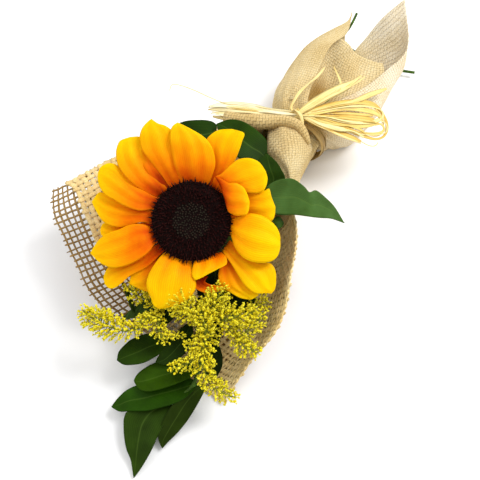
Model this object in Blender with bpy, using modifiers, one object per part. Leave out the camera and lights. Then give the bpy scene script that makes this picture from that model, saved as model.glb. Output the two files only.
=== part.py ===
"""A single sunflower bouquet, lying on its back on a table.

One sunflower, three leafy ruscus stems and three goldenrod sprays are wrapped in one sheet of burlap, which
is gathered at the neck under a raffia tie and flares again into two pointed tails. +Y runs from the flower
end to the tails, +Z is up, and the table is z = 0. The lists give places in millimetres on the table, before
TO_ORIGIN centres the whole bouquet on the origin.
"""
import math
import random

import bmesh
import bpy
from mathutils import Matrix, Vector
from mathutils.bvhtree import BVHTree

MM = 0.001
SEED = 7
TO_ORIGIN = (0.0, -6.0, 0.0)

# The flower head: where it is, which way it faces and how big it is
HEAD_CENTRE = (11.0, -61.0, 70.0)
FACE_AZIMUTH = 27.0
FACE_ELEVATION = 60.0
DISC_RADIUS = 27.0
PETAL_THICKNESS = 0.9
BLADE_THICKNESS = 0.9
GAP = 0.3

# The burlap sheet and the tie
SHEET_THICKNESS = 1.2
NECK_CENTRE = (32.0, 26.0)
NECK_SEMI_AXES = (21.5, 20.0)
NECK_FRONT = 63.0
NECK_BACK = 73.0
PLEATS = 6
PLEAT_DEPTH = 5.0
PLEAT_LENGTH = 22.0
BINDING_WIDTH = 8.0
BINDING_THICKNESS = 2.6

YELLOW = (0.95, 0.52, 0.01)
GOLD = (0.66, 0.62, 0.04)
DARK = (0.03, 0.012, 0.012)
LEAF_GREEN = (0.03, 0.09, 0.015)
STEM_GREEN = (0.14, 0.27, 0.06)
JUTE = (0.63, 0.48, 0.27)
STRAW = (0.85, 0.7, 0.35)


def material(name, colour, roughness):
    """A Principled material of one colour."""
    found = bpy.data.materials.get(name)
    if found:
        return found
    made = bpy.data.materials.new(name)
    made.use_nodes = True
    shader = made.node_tree.nodes["Principled BSDF"]
    shader.inputs["Base Color"].default_value = (*colour, 1.0)
    shader.inputs["Roughness"].default_value = roughness
    return made


def smooth_path(points, per_span):
    """Points along a smooth curve through the given ones (Catmull-Rom), each with any number of values."""
    ends = [points[0], *points, points[-1]]
    path = []
    for i in range(1, len(ends) - 2):
        for k in range(per_span):
            path.append(blend(ends[i - 1:i + 3], k / per_span))
    path.append(tuple(points[-1]))
    return path


def blend(four, t):
    """The Catmull-Rom value between the middle two of four points."""
    a, b, c, d = four
    return tuple(
        0.5 * (2 * b[i] + (c[i] - a[i]) * t + (2 * a[i] - 5 * b[i] + 4 * c[i] - d[i]) * t * t
               + (3 * b[i] - a[i] - 3 * c[i] + d[i]) * t ** 3)
        for i in range(len(b)))


def head_frame():
    """The head's own frame: X to its right, Y up along its face and Z out of the face."""
    azimuth = math.radians(FACE_AZIMUTH)
    elevation = math.radians(FACE_ELEVATION)
    turn = Matrix.Rotation(azimuth, 4, "Z") @ Matrix.Rotation(math.pi / 2 - elevation, 4, "X")
    return Matrix.Translation(Vector(HEAD_CENTRE)) @ turn


def new_object(name, mesh):
    """A new object in the scene that holds this mesh or curve."""
    obj = bpy.data.objects.new(name, mesh)
    bpy.context.scene.collection.objects.link(obj)
    return obj


def strip_mesh(name, rows, thickness):
    """A thin blade: rows of points across, each row one point at a pointed end, made solid."""
    bm = bmesh.new()
    grid = [[bm.verts.new(Vector(p) * MM) for p in row] for row in rows]
    for low, high in zip(grid, grid[1:]):
        if len(low) == 1:
            for a, b in zip(high, high[1:]):
                bm.faces.new((low[0], b, a))
        elif len(high) == 1:
            for a, b in zip(low, low[1:]):
                bm.faces.new((a, b, high[0]))
        else:
            for k in range(len(low) - 1):
                bm.faces.new((low[k], low[k + 1], high[k + 1]))
                bm.faces.new((low[k], high[k + 1], high[k]))
    mesh = bpy.data.meshes.new(name)
    bm.to_mesh(mesh)
    bm.free()
    obj = new_object(name, mesh)
    solid = obj.modifiers.new("thickness", "SOLIDIFY")
    solid.thickness = thickness * MM
    solid.offset = 0.0
    solid.use_even_offset = False
    return bake(obj)


def bake(obj, weld=0.00001):
    """The object as a plain mesh, with its modifiers applied and, for curve caps, its doubles merged."""
    graph = bpy.context.evaluated_depsgraph_get()
    mesh = bpy.data.meshes.new_from_object(obj.evaluated_get(graph))
    bm = bmesh.new()
    bm.from_mesh(mesh)
    if weld:
        bmesh.ops.remove_doubles(bm, verts=bm.verts, dist=weld)
    bm.to_mesh(mesh)
    bm.free()
    made = new_object(obj.name + "_mesh", mesh)
    made.matrix_world = obj.matrix_world.copy()
    bpy.data.objects.remove(obj)
    return made


def tube(name, points, sides=2):
    """A tapered round tube through points of (x, y, z, radius), with filled ends."""
    curve = bpy.data.curves.new(name, "CURVE")
    curve.dimensions = "3D"
    curve.bevel_depth = MM
    curve.bevel_resolution = sides
    curve.use_fill_caps = True
    line = curve.splines.new("POLY")
    line.points.add(len(points) - 1)
    for spot, (x, y, z, radius) in zip(line.points, points):
        spot.co = (x * MM, y * MM, z * MM, 1.0)
        spot.radius = radius
    return bake(new_object(name, curve))


def turned(name, profile, steps, frame):
    """A profile of (radius, height) points turned round the frame's Z axis; it runs top to bottom."""
    mesh = bpy.data.meshes.new(name)
    points = [(r * MM, 0.0, h * MM) for r, h in profile]
    mesh.from_pydata(points, [(i, i + 1) for i in range(len(points) - 1)], [])
    obj = new_object(name, mesh)
    screw = obj.modifiers.new("turn", "SCREW")
    screw.steps = steps
    screw.render_steps = steps
    screw.use_merge_vertices = True
    screw.merge_threshold = 0.00005
    place = frame.copy()
    place.translation = frame.translation * MM
    obj.matrix_world = place
    bpy.context.view_layer.update()
    return bake(obj)


def ball(name, centre, radius, squash=(1.0, 1.0, 1.0), detail=1):
    """A small faceted ball: a knot when it is squashed, a floret or a leaf's foot with no detail."""
    bm = bmesh.new()
    if detail:
        bmesh.ops.create_icosphere(bm, subdivisions=detail, radius=radius * MM)
    else:
        bmesh.ops.create_uvsphere(bm, u_segments=4, v_segments=2, radius=radius * MM)
    mesh = bpy.data.meshes.new(name)
    bmesh.ops.scale(bm, vec=squash, verts=bm.verts)
    bm.to_mesh(mesh)
    bm.free()
    obj = new_object(name, mesh)
    obj.location = Vector(centre) * MM
    bpy.context.view_layer.update()
    return obj


def fuse(name, pieces, look):
    """All pieces joined by one Boolean union into one named object with one material."""
    base, rest = pieces[0], pieces[1:]
    base.name = name
    group = bpy.data.collections.new(name + "_pieces")
    bpy.context.scene.collection.children.link(group)
    for piece in rest:
        group.objects.link(piece)
    joint = base.modifiers.new("join", "BOOLEAN")
    joint.operation = "UNION"
    joint.operand_type = "COLLECTION"
    joint.collection = group
    joint.solver = "MANIFOLD"
    bpy.context.view_layer.update()
    made = bake(base, weld=0.0)
    for piece in rest:
        bpy.data.objects.remove(piece)
    bpy.data.collections.remove(group)
    return finish(made, name, look)


def finish(obj, name, look):
    """Names a finished sub-part, keeps its largest body and puts it in the bouquet's collection."""
    obj.name = name
    obj.data.name = name
    keep_main_body(obj.data)
    obj.data.materials.clear()
    obj.data.materials.append(look)
    for group in list(obj.users_collection):
        group.objects.unlink(obj)
    bpy.data.collections["sunflower_bouquet"].objects.link(obj)
    obj.parent = bpy.data.objects["bouquet_place"]
    obj.data.shade_smooth()
    obj.data.set_sharp_from_angle(angle=math.radians(50))
    return obj


def keep_main_body(mesh):
    """Drops loose scraps and sealed hollows that joining leaves."""
    bm = bmesh.new()
    bm.from_mesh(mesh)
    left = set(bm.verts)
    bodies = []
    while left:
        body = {left.pop()}
        edge_of = list(body)
        while edge_of:
            vert = edge_of.pop()
            for edge in vert.link_edges:
                other = edge.other_vert(vert)
                if other in left:
                    left.discard(other)
                    body.add(other)
                    edge_of.append(other)
        bodies.append(body)
    bodies.sort(key=len)
    for body in bodies[:-1]:
        bmesh.ops.delete(bm, geom=list(body), context="VERTS")
    bmesh.ops.triangulate(bm, faces=bm.faces)
    bm.to_mesh(mesh)
    bm.free()


# The flower

PETAL_ROOT = 21.0
PETAL_STEPS = 5
PETAL_CELLS = 4
# Each petal: angles of its root and its tip round the face, reach, width, height of its tip, layer
PETALS = [
    (119, 111, 71, 28, 1.0, 1),
    (90, 97, 66, 30, 4.0, 0),
    (66, 62, 69, 29, -1.0, 2),
    (45, 36, 58, 27, 9.0, 1),
    (30, 12, 42, 18, 12.0, 1),
    (14, 14, 61, 25, 1.0, 2),
    (-6, -14, 64, 31, 5.0, 0),
    (-30, -37, 71, 24, 4.0, 1),
    (-45, -52, 68, 27, -1.0, 2),
    (-60, -78, 48, 13, 6.0, 0),
    (-108, -113, 61, 30, 6.0, 0),
    (-128, -136, 57, 18, -2.0, 2),
    (-140, -143, 70, 22, -2.0, 1),
    (-160, -162, 69, 28, 3.0, 0),
    (-174, -174, 60, 20, -3.0, 2),
    (178, 171, 66, 24, 0.0, 1),
    (160, 150, 70, 27, 4.0, 0),
    (140, 129, 70, 27, 1.0, 1),
    (-92, -94, 50, 20, -3.0, 2),
]
LAYER_STEP = 1.7
PETAL_ROOT_HEIGHT = -4.6
PETAL_ARCH = 3.4
PETAL_CUP = 0.3
PETAL_GROOVE = 0.7


def petal_rows(petal):
    """Rows of points across one petal, in the head's frame."""
    root_angle, tip_angle, reach, width, tip_height, layer = petal
    rows = []
    for i in range(PETAL_STEPS + 1):
        t = 1 - (1 - i / PETAL_STEPS) ** 1.6
        angle = math.radians(root_angle + (tip_angle - root_angle) * t)
        radius = PETAL_ROOT + (reach - PETAL_ROOT) * t
        height = PETAL_ROOT_HEIGHT + (tip_height - PETAL_ROOT_HEIGHT) * t ** 2
        height += (PETAL_ARCH - LAYER_STEP * layer) * math.sin(math.pi * t)
        half = 0.64 * width * (0.26 + 0.9 * t) * (1 - t ** 3.2) ** 0.6
        along = Vector((math.cos(angle), math.sin(angle), 0.0))
        side = Vector((-along.y, along.x, 0.0))
        middle = along * radius + Vector((0, 0, height))
        if i == PETAL_STEPS:
            rows.append([middle])
            continue
        row = []
        for k in range(PETAL_CELLS + 1):
            across = 2 * k / PETAL_CELLS - 1
            groove = PETAL_GROOVE * math.cos(2 * math.pi * across)
            lift = (PETAL_CUP * width * t * across ** 2 - groove) * t * (1.3 - t)
            row.append(middle + side * (half * across) + Vector((0, 0, lift)))
        rows.append(row)
    return rows


def sunflower_petals():
    """The ray petals, in three layers, rooted in a ring under the disc."""
    frame = head_frame()
    outline = [(20.2, -3.2), (26.5, -3.2), (26.5, -5.9), (20.2, -5.9), (20.2, -3.2)]
    ring = turned("petal_ring", outline, 22, frame)
    pieces = [ring]
    for petal in PETALS:
        rows = [[frame @ point for point in row] for row in petal_rows(petal)]
        pieces.append(strip_mesh("petal", rows, PETAL_THICKNESS))
    fuse("sunflower_petals", pieces, material("ray_petal", YELLOW, 0.55))


def disc_height(radius, angle):
    """Height of the disc above the face: a low dome with floret relief on two sets of spirals."""
    part = radius / DISC_RADIUS
    dome = 5.0 - 2.6 * part ** 2 - 1.6 * math.exp(-((part - 0.1) / 0.22) ** 2)
    twist = 5.5 * math.log(0.25 + part)
    bumps = math.cos(21 * angle + 3.2 * twist) + math.cos(21 * angle - 3.2 * twist)
    return dome + 0.35 * bumps * min(1.0, part * 1.6) + 1.6 * math.exp(-((part - 0.84) / 0.12) ** 2)


def sunflower_disc():
    """The disc of florets, seated in the petal ring and on the calyx."""
    rings, around = 8, 42
    frame = head_frame()
    bm = bmesh.new()
    top = bm.verts.new((0, 0, disc_height(0.001, 0.0)))
    rows = []
    for i in range(1, rings + 1):
        row = []
        for k in range(around):
            angle = 2 * math.pi * k / around
            radius = DISC_RADIUS * i / rings
            height = disc_height(radius, angle)
            if i == rings:
                radius += 1.3 * math.cos(21 * angle)
                height = 0.6
            row.append(bm.verts.new((radius * math.cos(angle), radius * math.sin(angle), height)))
        rows.append(row)
    turns = [2 * math.pi * k / around for k in range(around)]
    for radius, height in ((DISC_RADIUS - 2.5, -2.0), (19.8, -2.8), (19.8, -5.8)):
        rows.append([bm.verts.new((radius * math.cos(a), radius * math.sin(a), height)) for a in turns])
    for k in range(around):
        after = (k + 1) % around
        bm.faces.new((top, rows[0][k], rows[0][after]))
        for low, high in zip(rows, rows[1:]):
            bm.faces.new((low[k], high[k], high[after], low[after]))
    bm.faces.new(list(reversed(rows[-1])))
    mesh = bpy.data.meshes.new("disc")
    bmesh.ops.transform(bm, matrix=frame, verts=bm.verts)
    bmesh.ops.scale(bm, vec=(MM, MM, MM), verts=bm.verts)
    bm.to_mesh(mesh)
    bm.free()
    finish(new_object("sunflower_disc", mesh), "sunflower_disc", material("disc_florets", DARK, 0.9))


CALYX = [(0.001, -6.2), (27.5, -6.2), (29, -7.6), (24, -13), (15, -18.5), (8, -25), (0.001, -28)]
BRACTS = 9
SUNFLOWER_STEM = [
    (5.5, -49.5, 48.5, 7.4),
    (5.0, -41.0, 39.5, 6.6),
    (9.5, -24.0, 33.0, 6.3),
    (20.0, 12.0, 30.0, 6.3),
    (28.0, 46.0, 28.0, 6.5),
    (31.0, 72.0, 27.0, 6.6),
    (33.0, 94.0, 24.0, 6.5),
    (35.0, 116.0, 21.0, 6.4),
]


def sunflower_stem():
    """The green back of the head with its bracts, and the stem that nods down from it to the neck."""
    frame = head_frame()
    pieces = [turned("calyx", CALYX, 18, frame)]
    pieces.append(tube("stalk", smooth_path(SUNFLOWER_STEM, 2), 2))
    for b in range(BRACTS):
        angle = 2 * math.pi * (b + 0.3) / BRACTS
        along = Vector((math.cos(angle), math.sin(angle), 0))
        side = Vector((-along.y, along.x, 0))
        rows = []
        for i in range(4):
            t = i / 3
            middle = along * (22 + 23 * t) + Vector((0, 0, -9.6 - 5.0 * t + 2.4 * math.sin(math.pi * t)))
            half = 5.6 * (1 - t) ** 0.7
            across = (-1, 0, 1) if t < 1 else (0,)
            rows.append([frame @ (middle + side * half * a + Vector((0, 0, -0.8 * a * a))) for a in across])
        pieces.append(strip_mesh("bract", rows, BLADE_THICKNESS))
    fuse("sunflower_stem", pieces, material("green_stem", STEM_GREEN, 0.6))


# Ruscus: each leaf is base, tip, width, roll in degrees about its own length, and rise of its middle

LEAF_STEPS = 5
LEAF_CELLS = 4
LEAF_FOLD = 0.07
LEAF_FOOT_RADIUS = 1.6
RUSCUS = {
    "ruscus_front": {
        "stem": [(44, -164, 12, 0.9), (54, -147, 15, 1.2), (53, -131, 18, 1.4), (51, -105, 21, 1.6),
                 (46, -58, 22, 1.8), (41, -10, 20, 1.9), (38, 40, 20, 1.9), (37.4, 72, 20.9, 1.9),
                 (46, 102, 16, 1.9), (55, 134, 11, 1.9)],
        "leaves": [
            ((32, -126, 22), (1, -152, 20), 23, 25, 2),
            ((39, -112, 26), (26, -145, 21), 15, -35, 1),
            ((53, -134, 19), (17, -158, 14), 24, 20, 3),
            ((54, -147, 15), (12, -180, 8), 24, 12, 3),
            ((45, -162, 12), (47, -211, 2), 26, 0, 3),
            ((57, -142, 14), (54, -186, 3), 20, -25, 2),
            ((52, -113, 20), (72, -136, 10), 15, -30, 1),
        ],
        "twigs": [((51, -107, 21), (32, -126, 22)), ((50, -98, 21), (39, -112, 26)),
                  ((52, -128, 18), (53, -134, 19)), ((51, -105, 21), (52, -113, 20)),
                  ((54, -147, 15), (57, -142, 14))],
    },
    "ruscus_back": {
        "stem": [(4, 14, 58, 1.0), (14, 20, 52, 1.3), (19, 36, 42, 1.6), (20, 52, 32, 1.7),
                 (22.3, 68, 23.4, 1.7),
                 (23, 100, 22, 1.6), (21, 130, 26, 1.5), (20, 150, 33, 1.4), (23, 166, 38.5, 1.2),
                 (28, 179, 45, 1.1), (29, 191, 51.5, 1.1)],
        "leaves": [
            ((4, 14, 58), (-43, 17, 56), 24, 10, 4),
            ((26, 10, 56), (-18, 26, 62), 34, -12, 4),
            ((39, -9, 58), (29, 25, 61), 22, -20, 3),
        ],
        "twigs": [((16, 22, 51), (26, 10, 56)), ((18, 26, 48), (39, -9, 58))],
    },
    "ruscus_side": {
        "stem": [(45, -18, 60, 1.0), (49, -8, 50, 1.2), (46, 20, 36, 1.4), (40.5, 46, 30.5, 1.5),
                 (39, 68, 29.7, 1.5),
                 (44, 100, 25, 1.5), (44, 122, 20, 1.5), (36, 152, 20, 1.4), (33.5, 171, 23.5, 1.3),
                 (30.5, 180, 22, 1.3),
                 (29.5, 187, 15, 1.3), (34, 192, 8, 1.3), (50, 189, 5.5, 1.3), (66, 190, 5, 1.3),
                 (89, 196, 5, 1.2)],
        "leaves": [
            ((45, -18, 60), (101, -12, 63), 30, 12, 8),
            ((52, -21, 56), (63, -30, 54), 9, 30, 2),
        ],
        "twigs": [((48, -13, 54), (52, -21, 56))],
    },
}


def leaf_rows(base, tip, width, roll, rise):
    """Rows of points across one ruscus leaf: a pointed oval, folded a little along its midrib."""
    base, tip = Vector(base), Vector(tip)
    along = (tip - base).normalized()
    side = Vector((0, 0, 1)).cross(along).normalized()
    side = Matrix.Rotation(math.radians(roll), 3, along) @ side
    up = along.cross(side)
    rows = []
    for i in range(LEAF_STEPS + 1):
        t = 1 - (1 - i / LEAF_STEPS) ** 1.25
        middle = base.lerp(tip, t) + up * rise * math.sin(math.pi * t)
        half = 0.5 * width * math.sin(math.pi * t ** 0.85) ** 0.75
        if i == LEAF_STEPS:
            rows.append([middle])
            continue
        half = max(half, 0.9)
        row = []
        for k in range(LEAF_CELLS + 1):
            across = 2 * k / LEAF_CELLS - 1
            row.append(middle + side * half * across + up * (LEAF_FOLD * width * abs(across) ** 1.5))
        rows.append(row)
    return rows


def ruscus(name):
    """One leafy ruscus stem, its leaves and twigs fused to it."""
    parts = RUSCUS[name]
    pieces = [tube("stem", parts["stem"], 1)]
    for base, tip, width, roll, rise in parts["leaves"]:
        pieces.append(strip_mesh("leaf", leaf_rows(base, tip, width, roll, rise), BLADE_THICKNESS))
        pieces.append(ball("leaf_foot", base, LEAF_FOOT_RADIUS, detail=0))
    for start, end in parts["twigs"]:
        pieces.append(tube("twig", [(*start, 1.0), (*end, 0.9)], 0))
    fuse(name, pieces, material("ruscus_leaf", LEAF_GREEN, 0.3))


# Goldenrod: a green stem to the plume's foot, then sprigs of (x, y, z, half width of the plume)

GOLDENROD = {
    "goldenrod_left": {
        "stem": [(14, -108, 32, 1.2), (16, -90, 28, 1.3), (18, -50, 18, 1.5), (21, 0, 15, 1.6),
                 (23, 40, 17, 1.6), (26.7, 68, 19.6, 1.6), (24, 94, 14, 1.6), (23, 120, 12, 1.6)],
        "leaves": [((15.5, -97, 29.3), (-9, -130, 27.5), 13, 10, 1),
                   ((-3, -121, 28.6), (-20, -108, 36), 7, 60, 1)],
        "sprigs": [
            [(13.8, -109.2, 32.6, 3), (11, -126, 36, 3.5), (5, -137, 38, 7), (-7, -141, 40, 11),
             (-21, -141, 39, 8), (-30, -139, 39, 4)],
            [(13, -113, 34, 3), (11, -124, 38, 6), (7, -130, 39, 4)],
            [(13, -113, 34, 3), (19, -125, 37, 7), (26, -130, 34, 5), (31, -125, 33, 3), (37, -123, 32, 2)],
            [(12.5, -111, 33.5, 3), (3, -112, 37, 6), (-6, -113, 39, 6), (-13, -110, 40, 3)],
        ],
    },
    "goldenrod_middle": {
        "stem": [(42, -104, 31, 1.2), (40, -84, 26, 1.3), (34, -50, 16, 1.5), (30, 0, 13, 1.6),
                 (28.5, 40, 16.5, 1.6), (31.9, 68, 18.5, 1.6), (38, 96, 13, 1.6), (43, 122, 9, 1.6)],
        "leaves": [],
        "sprigs": [
            [(42.1, -105.2, 31.6, 3), (32, -111, 38, 8), (24, -107, 41, 9), (18, -99, 41, 7)],
            [(42.5, -107, 33, 3), (46, -101, 40, 11), (44, -94, 42.5, 8)],
            [(42.1, -105.2, 31.6, 3), (50, -115, 34, 8), (53, -126, 35, 8), (58, -135, 33, 8),
             (65, -141, 28, 7), (76, -143, 25, 6), (85, -141, 22, 3)],
            [(54, -127, 34, 3), (49, -136, 32, 5), (43, -142, 29, 4), (38, -144, 27, 2)],
        ],
    },
    "goldenrod_right": {
        "stem": [(62, -92, 28, 1.2), (56, -74, 22, 1.3), (46, -40, 14, 1.5), (37, 0, 11, 1.6),
                 (32, 40, 12, 1.6),
                 (29.3, 68, 15.2, 1.6), (30, 84, 14, 1.6), (34, 102, 8, 1.6), (37, 122, 6, 1.6)],
        "leaves": [],
        "sprigs": [
            [(62.2, -92.8, 28.4, 3), (68, -108, 33, 6), (77, -112, 34.5, 7), (86, -111, 35, 4)],
            [(63, -95, 30, 3), (67, -85, 32, 5), (74, -76, 33, 5)],
            [(63, -96, 30, 3), (61, -103, 36, 6), (62, -110, 37, 4)],
        ],
    },
}
CORE_SHARE = 0.36
FLORET_STEP = 9.5
FLORET_SIZE = 2.4
FLORET_GROWTH = 0.26
WIDTH_PER_FLORET = 4.6
GOLDEN_TURN = 0.618


def plume(name, sprigs, draw):
    """The yellow plume of one spray: tapered cores, with the florets standing out of them."""
    others = nearby_trees()
    pieces = []
    for points in sprigs:
        path = smooth_path(points, 2)
        pieces.append(tube("core", [(x, y, z, max(CORE_SHARE * w, 1.0)) for x, y, z, w in path], 0))
        length = sum((Vector(b[:3]) - Vector(a[:3])).length for a, b in zip(path, path[1:]))
        count = max(2, round(length / FLORET_STEP))
        for k in range(count):
            here, along = along_path(path, (k + 0.8) / count * (len(path) - 1))
            side = Vector((0, 0, 1)).cross(along).normalized()
            half_width = here[3]
            for n in range(1 + round(half_width / WIDTH_PER_FLORET)):
                turn = math.radians(-35 + 250 * ((GOLDEN_TURN * (k * 3 + n)) % 1.0))
                size = (FLORET_SIZE + FLORET_GROWTH * half_width) * draw.uniform(0.9, 1.1)
                out = side * math.cos(turn) + Vector((0, 0, 1)) * math.sin(turn)
                out += along * draw.uniform(-0.3, 0.5)
                spot = here.xyz + out.normalized() * (half_width - 0.8 * size)
                tilt = [draw.uniform(0, math.pi) for _ in range(3)]
                if is_clear(spot, size, others):
                    floret = ball("floret", spot, size, detail=0)
                    floret.rotation_euler = tilt
                    pieces.append(floret)
    bpy.context.view_layer.update()
    fuse(name, pieces, material("goldenrod_floret", GOLD, 0.8))


def along_path(path, place):
    """The point at a place along a path, counted in spans, and the path's direction there."""
    at = min(int(place), len(path) - 2)
    here, after = Vector(path[at]), Vector(path[at + 1])
    return here.lerp(after, place - at), (after - here).xyz.normalized()


def nearby_trees():
    """Search trees of the sub-parts made so far, in the coordinates of the lists."""
    bpy.context.view_layer.update()
    shift = Vector(TO_ORIGIN) * MM
    trees = []
    for obj in bpy.data.collections["sunflower_bouquet"].objects:
        if obj.type == "MESH":
            spots = [obj.matrix_world @ vert.co - shift for vert in obj.data.vertices]
            trees.append(BVHTree.FromPolygons(spots, [face.vertices[:] for face in obj.data.polygons]))
    return trees


def is_clear(spot, radius, trees):
    """True where a floret of this radius keeps the gap to everything made before it."""
    return all(tree.find_nearest(spot * MM, (radius + GAP) * MM)[0] is None for tree in trees)


def goldenrod(name, draw):
    """One spray: its stem, with any leaves, and its plume."""
    spray = GOLDENROD[name]
    pieces = [tube("stalk", spray["stem"][:2], 1), tube("stalk", spray["stem"][1:], 1)]
    for leaf in spray["leaves"]:
        pieces.append(strip_mesh("leaf", leaf_rows(*leaf), BLADE_THICKNESS))
    fuse(name + "_stem", pieces, material("green_stem", STEM_GREEN, 0.6))
    plume(name + "_plume", spray["sprigs"], draw)


# Burlap: rows of points across the sheet, from the cut edge at the mouth to the cut edge at the tails, each
# from the sheet's left edge under the bouquet to its right edge

SHEET_ROWS = [
    [(-101, -71, 45), (-89, -88, 44), (-72, -101, 41), (-56, -112, 35), (-39, -123, 28), (-20, -129, 20),
     (-2, -127, 4), (19, -132, -1), (40, -137, -2), (59, -141, -2), (77, -143, 3)],
    [(-88, -53, 48), (-74, -68, 46), (-58, -81, 40), (-42, -92, 33), (-26, -100, 25), (-10, -101, 8),
     (10, -104, -2), (33, -110, -2), (54, -112, -3), (72, -115, 4), (83, -116, 22)],
    [(-74, -31, 50), (-60, -44, 47), (-45, -56, 41), (-30, -66, 33), (-15, -73, 24), (-1, -74, 6),
     (16, -78, -2), (38, -83, -3), (58, -85, -3), (78, -87, 16), (91, -90, 42)],
    [(-53, -4, 50), (-42, -18, 48), (-29, -29, 42), (-16, -38, 34), (-4, -45, 25), (7, -46, 6),
     (21, -50, -2), (39, -55, -3), (57, -56, 0), (74, -57, 22), (84, -58, 52)],
    [(-26, 24, 50), (-20, 12, 49), (-12, 2, 43), (-3, -6, 34), (6, -12, 24), (13, -12, 6),
     (26, -16, -2), (41, -21, -2), (55, -22, 5), (66, -23, 28), (71, -24, 55)],
    [(-4, 42, 49), (-8, 36, 47), (-8, 27, 42), (-3, 19, 34), (3, 16, 21), (11, 14, 7),
     (24, 12, -1), (41, 10, -1), (57, 13, 14), (58, 19, 42), (30, 26, 56)],
    [(31, 56, 51), (16, 55, 51), (7, 53, 44), (4, 51, 33), (7, 49, 20), (17, 48, 9),
     (30, 48, 3), (45, 49, 6), (56, 50, 18), (55, 50, 36), (29, 46, 47)],
]
TAIL_ROWS = [
    [(29, 92, 47), (14, 94, 45), (3, 95, 37), (-1, 94, 26), (4, 95, 11), (18, 92, 0),
     (36, 89, -1), (54, 88, -2), (67, 89, 10), (64, 93, 32), (45, 95, 43)],
    [(25, 121, 47), (10, 122, 44), (-1, 122, 35), (-2, 119, 24), (6, 118, 9), (21, 114, 0),
     (38, 111, -1), (56, 110, -2), (73, 112, 8), (77, 119, 27), (60, 122, 40)],
    [(24, 149, 49), (11, 150, 47), (3, 148, 39), (4, 144, 28), (12, 140, 16), (25, 140, 6),
     (40, 141, 0), (57, 144, 0), (74, 148, 9), (81, 154, 24), (72, 155, 38)],
    [(29, 172, 46), (22, 171, 50), (16, 167, 47), (15, 162, 39), (19, 158, 28), (27, 160, 15),
     (38, 165, 8), (53, 171, 10), (68, 178, 17), (79, 184, 27), (78, 185, 40)],
    [(25, 190, 52), (25, 186, 49), (25, 181, 45), (26, 176, 39), (28, 173, 30), (31, 173, 20),
     (34, 186, 14), (38, 198, 19), (43, 208, 29), (50, 215, 41), (59, 225, 52)],
]
NECK_START_ANGLE = 72.0
NECK_END_ANGLE = 444.0
NECK_TUCK = 2.4
SHEET_COLUMNS = 10
COLUMN_STEPS = 3
ROW_STEPS = 2


def neck_row(y):
    """The gathered sheet inside the tie: an oval from its left edge round to its tucked right edge."""
    row = []
    for j in range(SHEET_COLUMNS + 1):
        angle = math.radians(NECK_START_ANGLE + (NECK_END_ANGLE - NECK_START_ANGLE) * j / SHEET_COLUMNS)
        tuck = NECK_TUCK * (j / SHEET_COLUMNS) ** 5
        row.append((NECK_CENTRE[0] + (NECK_SEMI_AXES[0] - tuck) * math.cos(angle), y,
                    NECK_CENTRE[1] + (NECK_SEMI_AXES[1] - tuck) * math.sin(angle)))
    return row


def sheet_points():
    """The sheet's grid of points: smooth along and across, flat on the table, pleated at the neck."""
    neck_middle = 0.5 * (NECK_FRONT + NECK_BACK)
    neck = [neck_row(y) for y in (NECK_FRONT, neck_middle, NECK_BACK)]
    rows = [*SHEET_ROWS, *neck, *TAIL_ROWS]
    fine = [smooth_path(row, COLUMN_STEPS) for row in rows]
    columns = [smooth_path(list(column), ROW_STEPS) for column in zip(*fine)]
    grid = [list(row) for row in zip(*columns)]
    for row in grid:
        for j, (x, y, z) in enumerate(row):
            pinch = math.exp(-((y - neck_middle) / PLEAT_LENGTH) ** 4)
            fold = 0.5 - 0.5 * math.cos(2 * math.pi * PLEATS * j / (len(row) - 1))
            inward = Vector((NECK_CENTRE[0] - x, 0, NECK_CENTRE[1] - z))
            if inward.length > 1:
                inward.normalize()
            x, z = x + inward.x * PLEAT_DEPTH * pinch * fold, z + inward.z * PLEAT_DEPTH * pinch * fold
            row[j] = (x, y, max(z, 0.0))
    return grid


def burlap_wrap():
    """The burlap as one thin shell, its lower face on the table."""
    grid = sheet_points()
    bm = bmesh.new()
    verts = [[bm.verts.new(Vector(p) * MM) for p in row] for row in grid]
    for low, high in zip(verts, verts[1:]):
        for k in range(len(low) - 1):
            bm.faces.new((low[k], high[k + 1], low[k + 1]))
            bm.faces.new((low[k], high[k], high[k + 1]))
    mesh = bpy.data.meshes.new("burlap")
    bm.to_mesh(mesh)
    bm.free()
    obj = new_object("burlap", mesh)
    solid = obj.modifiers.new("thickness", "SOLIDIFY")
    solid.thickness = SHEET_THICKNESS * MM
    solid.offset = -1.0
    finish(bake(obj), "burlap_wrap", material("burlap", JUTE, 0.9))


# Raffia: the binding round the neck, and the bow on top of it

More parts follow.
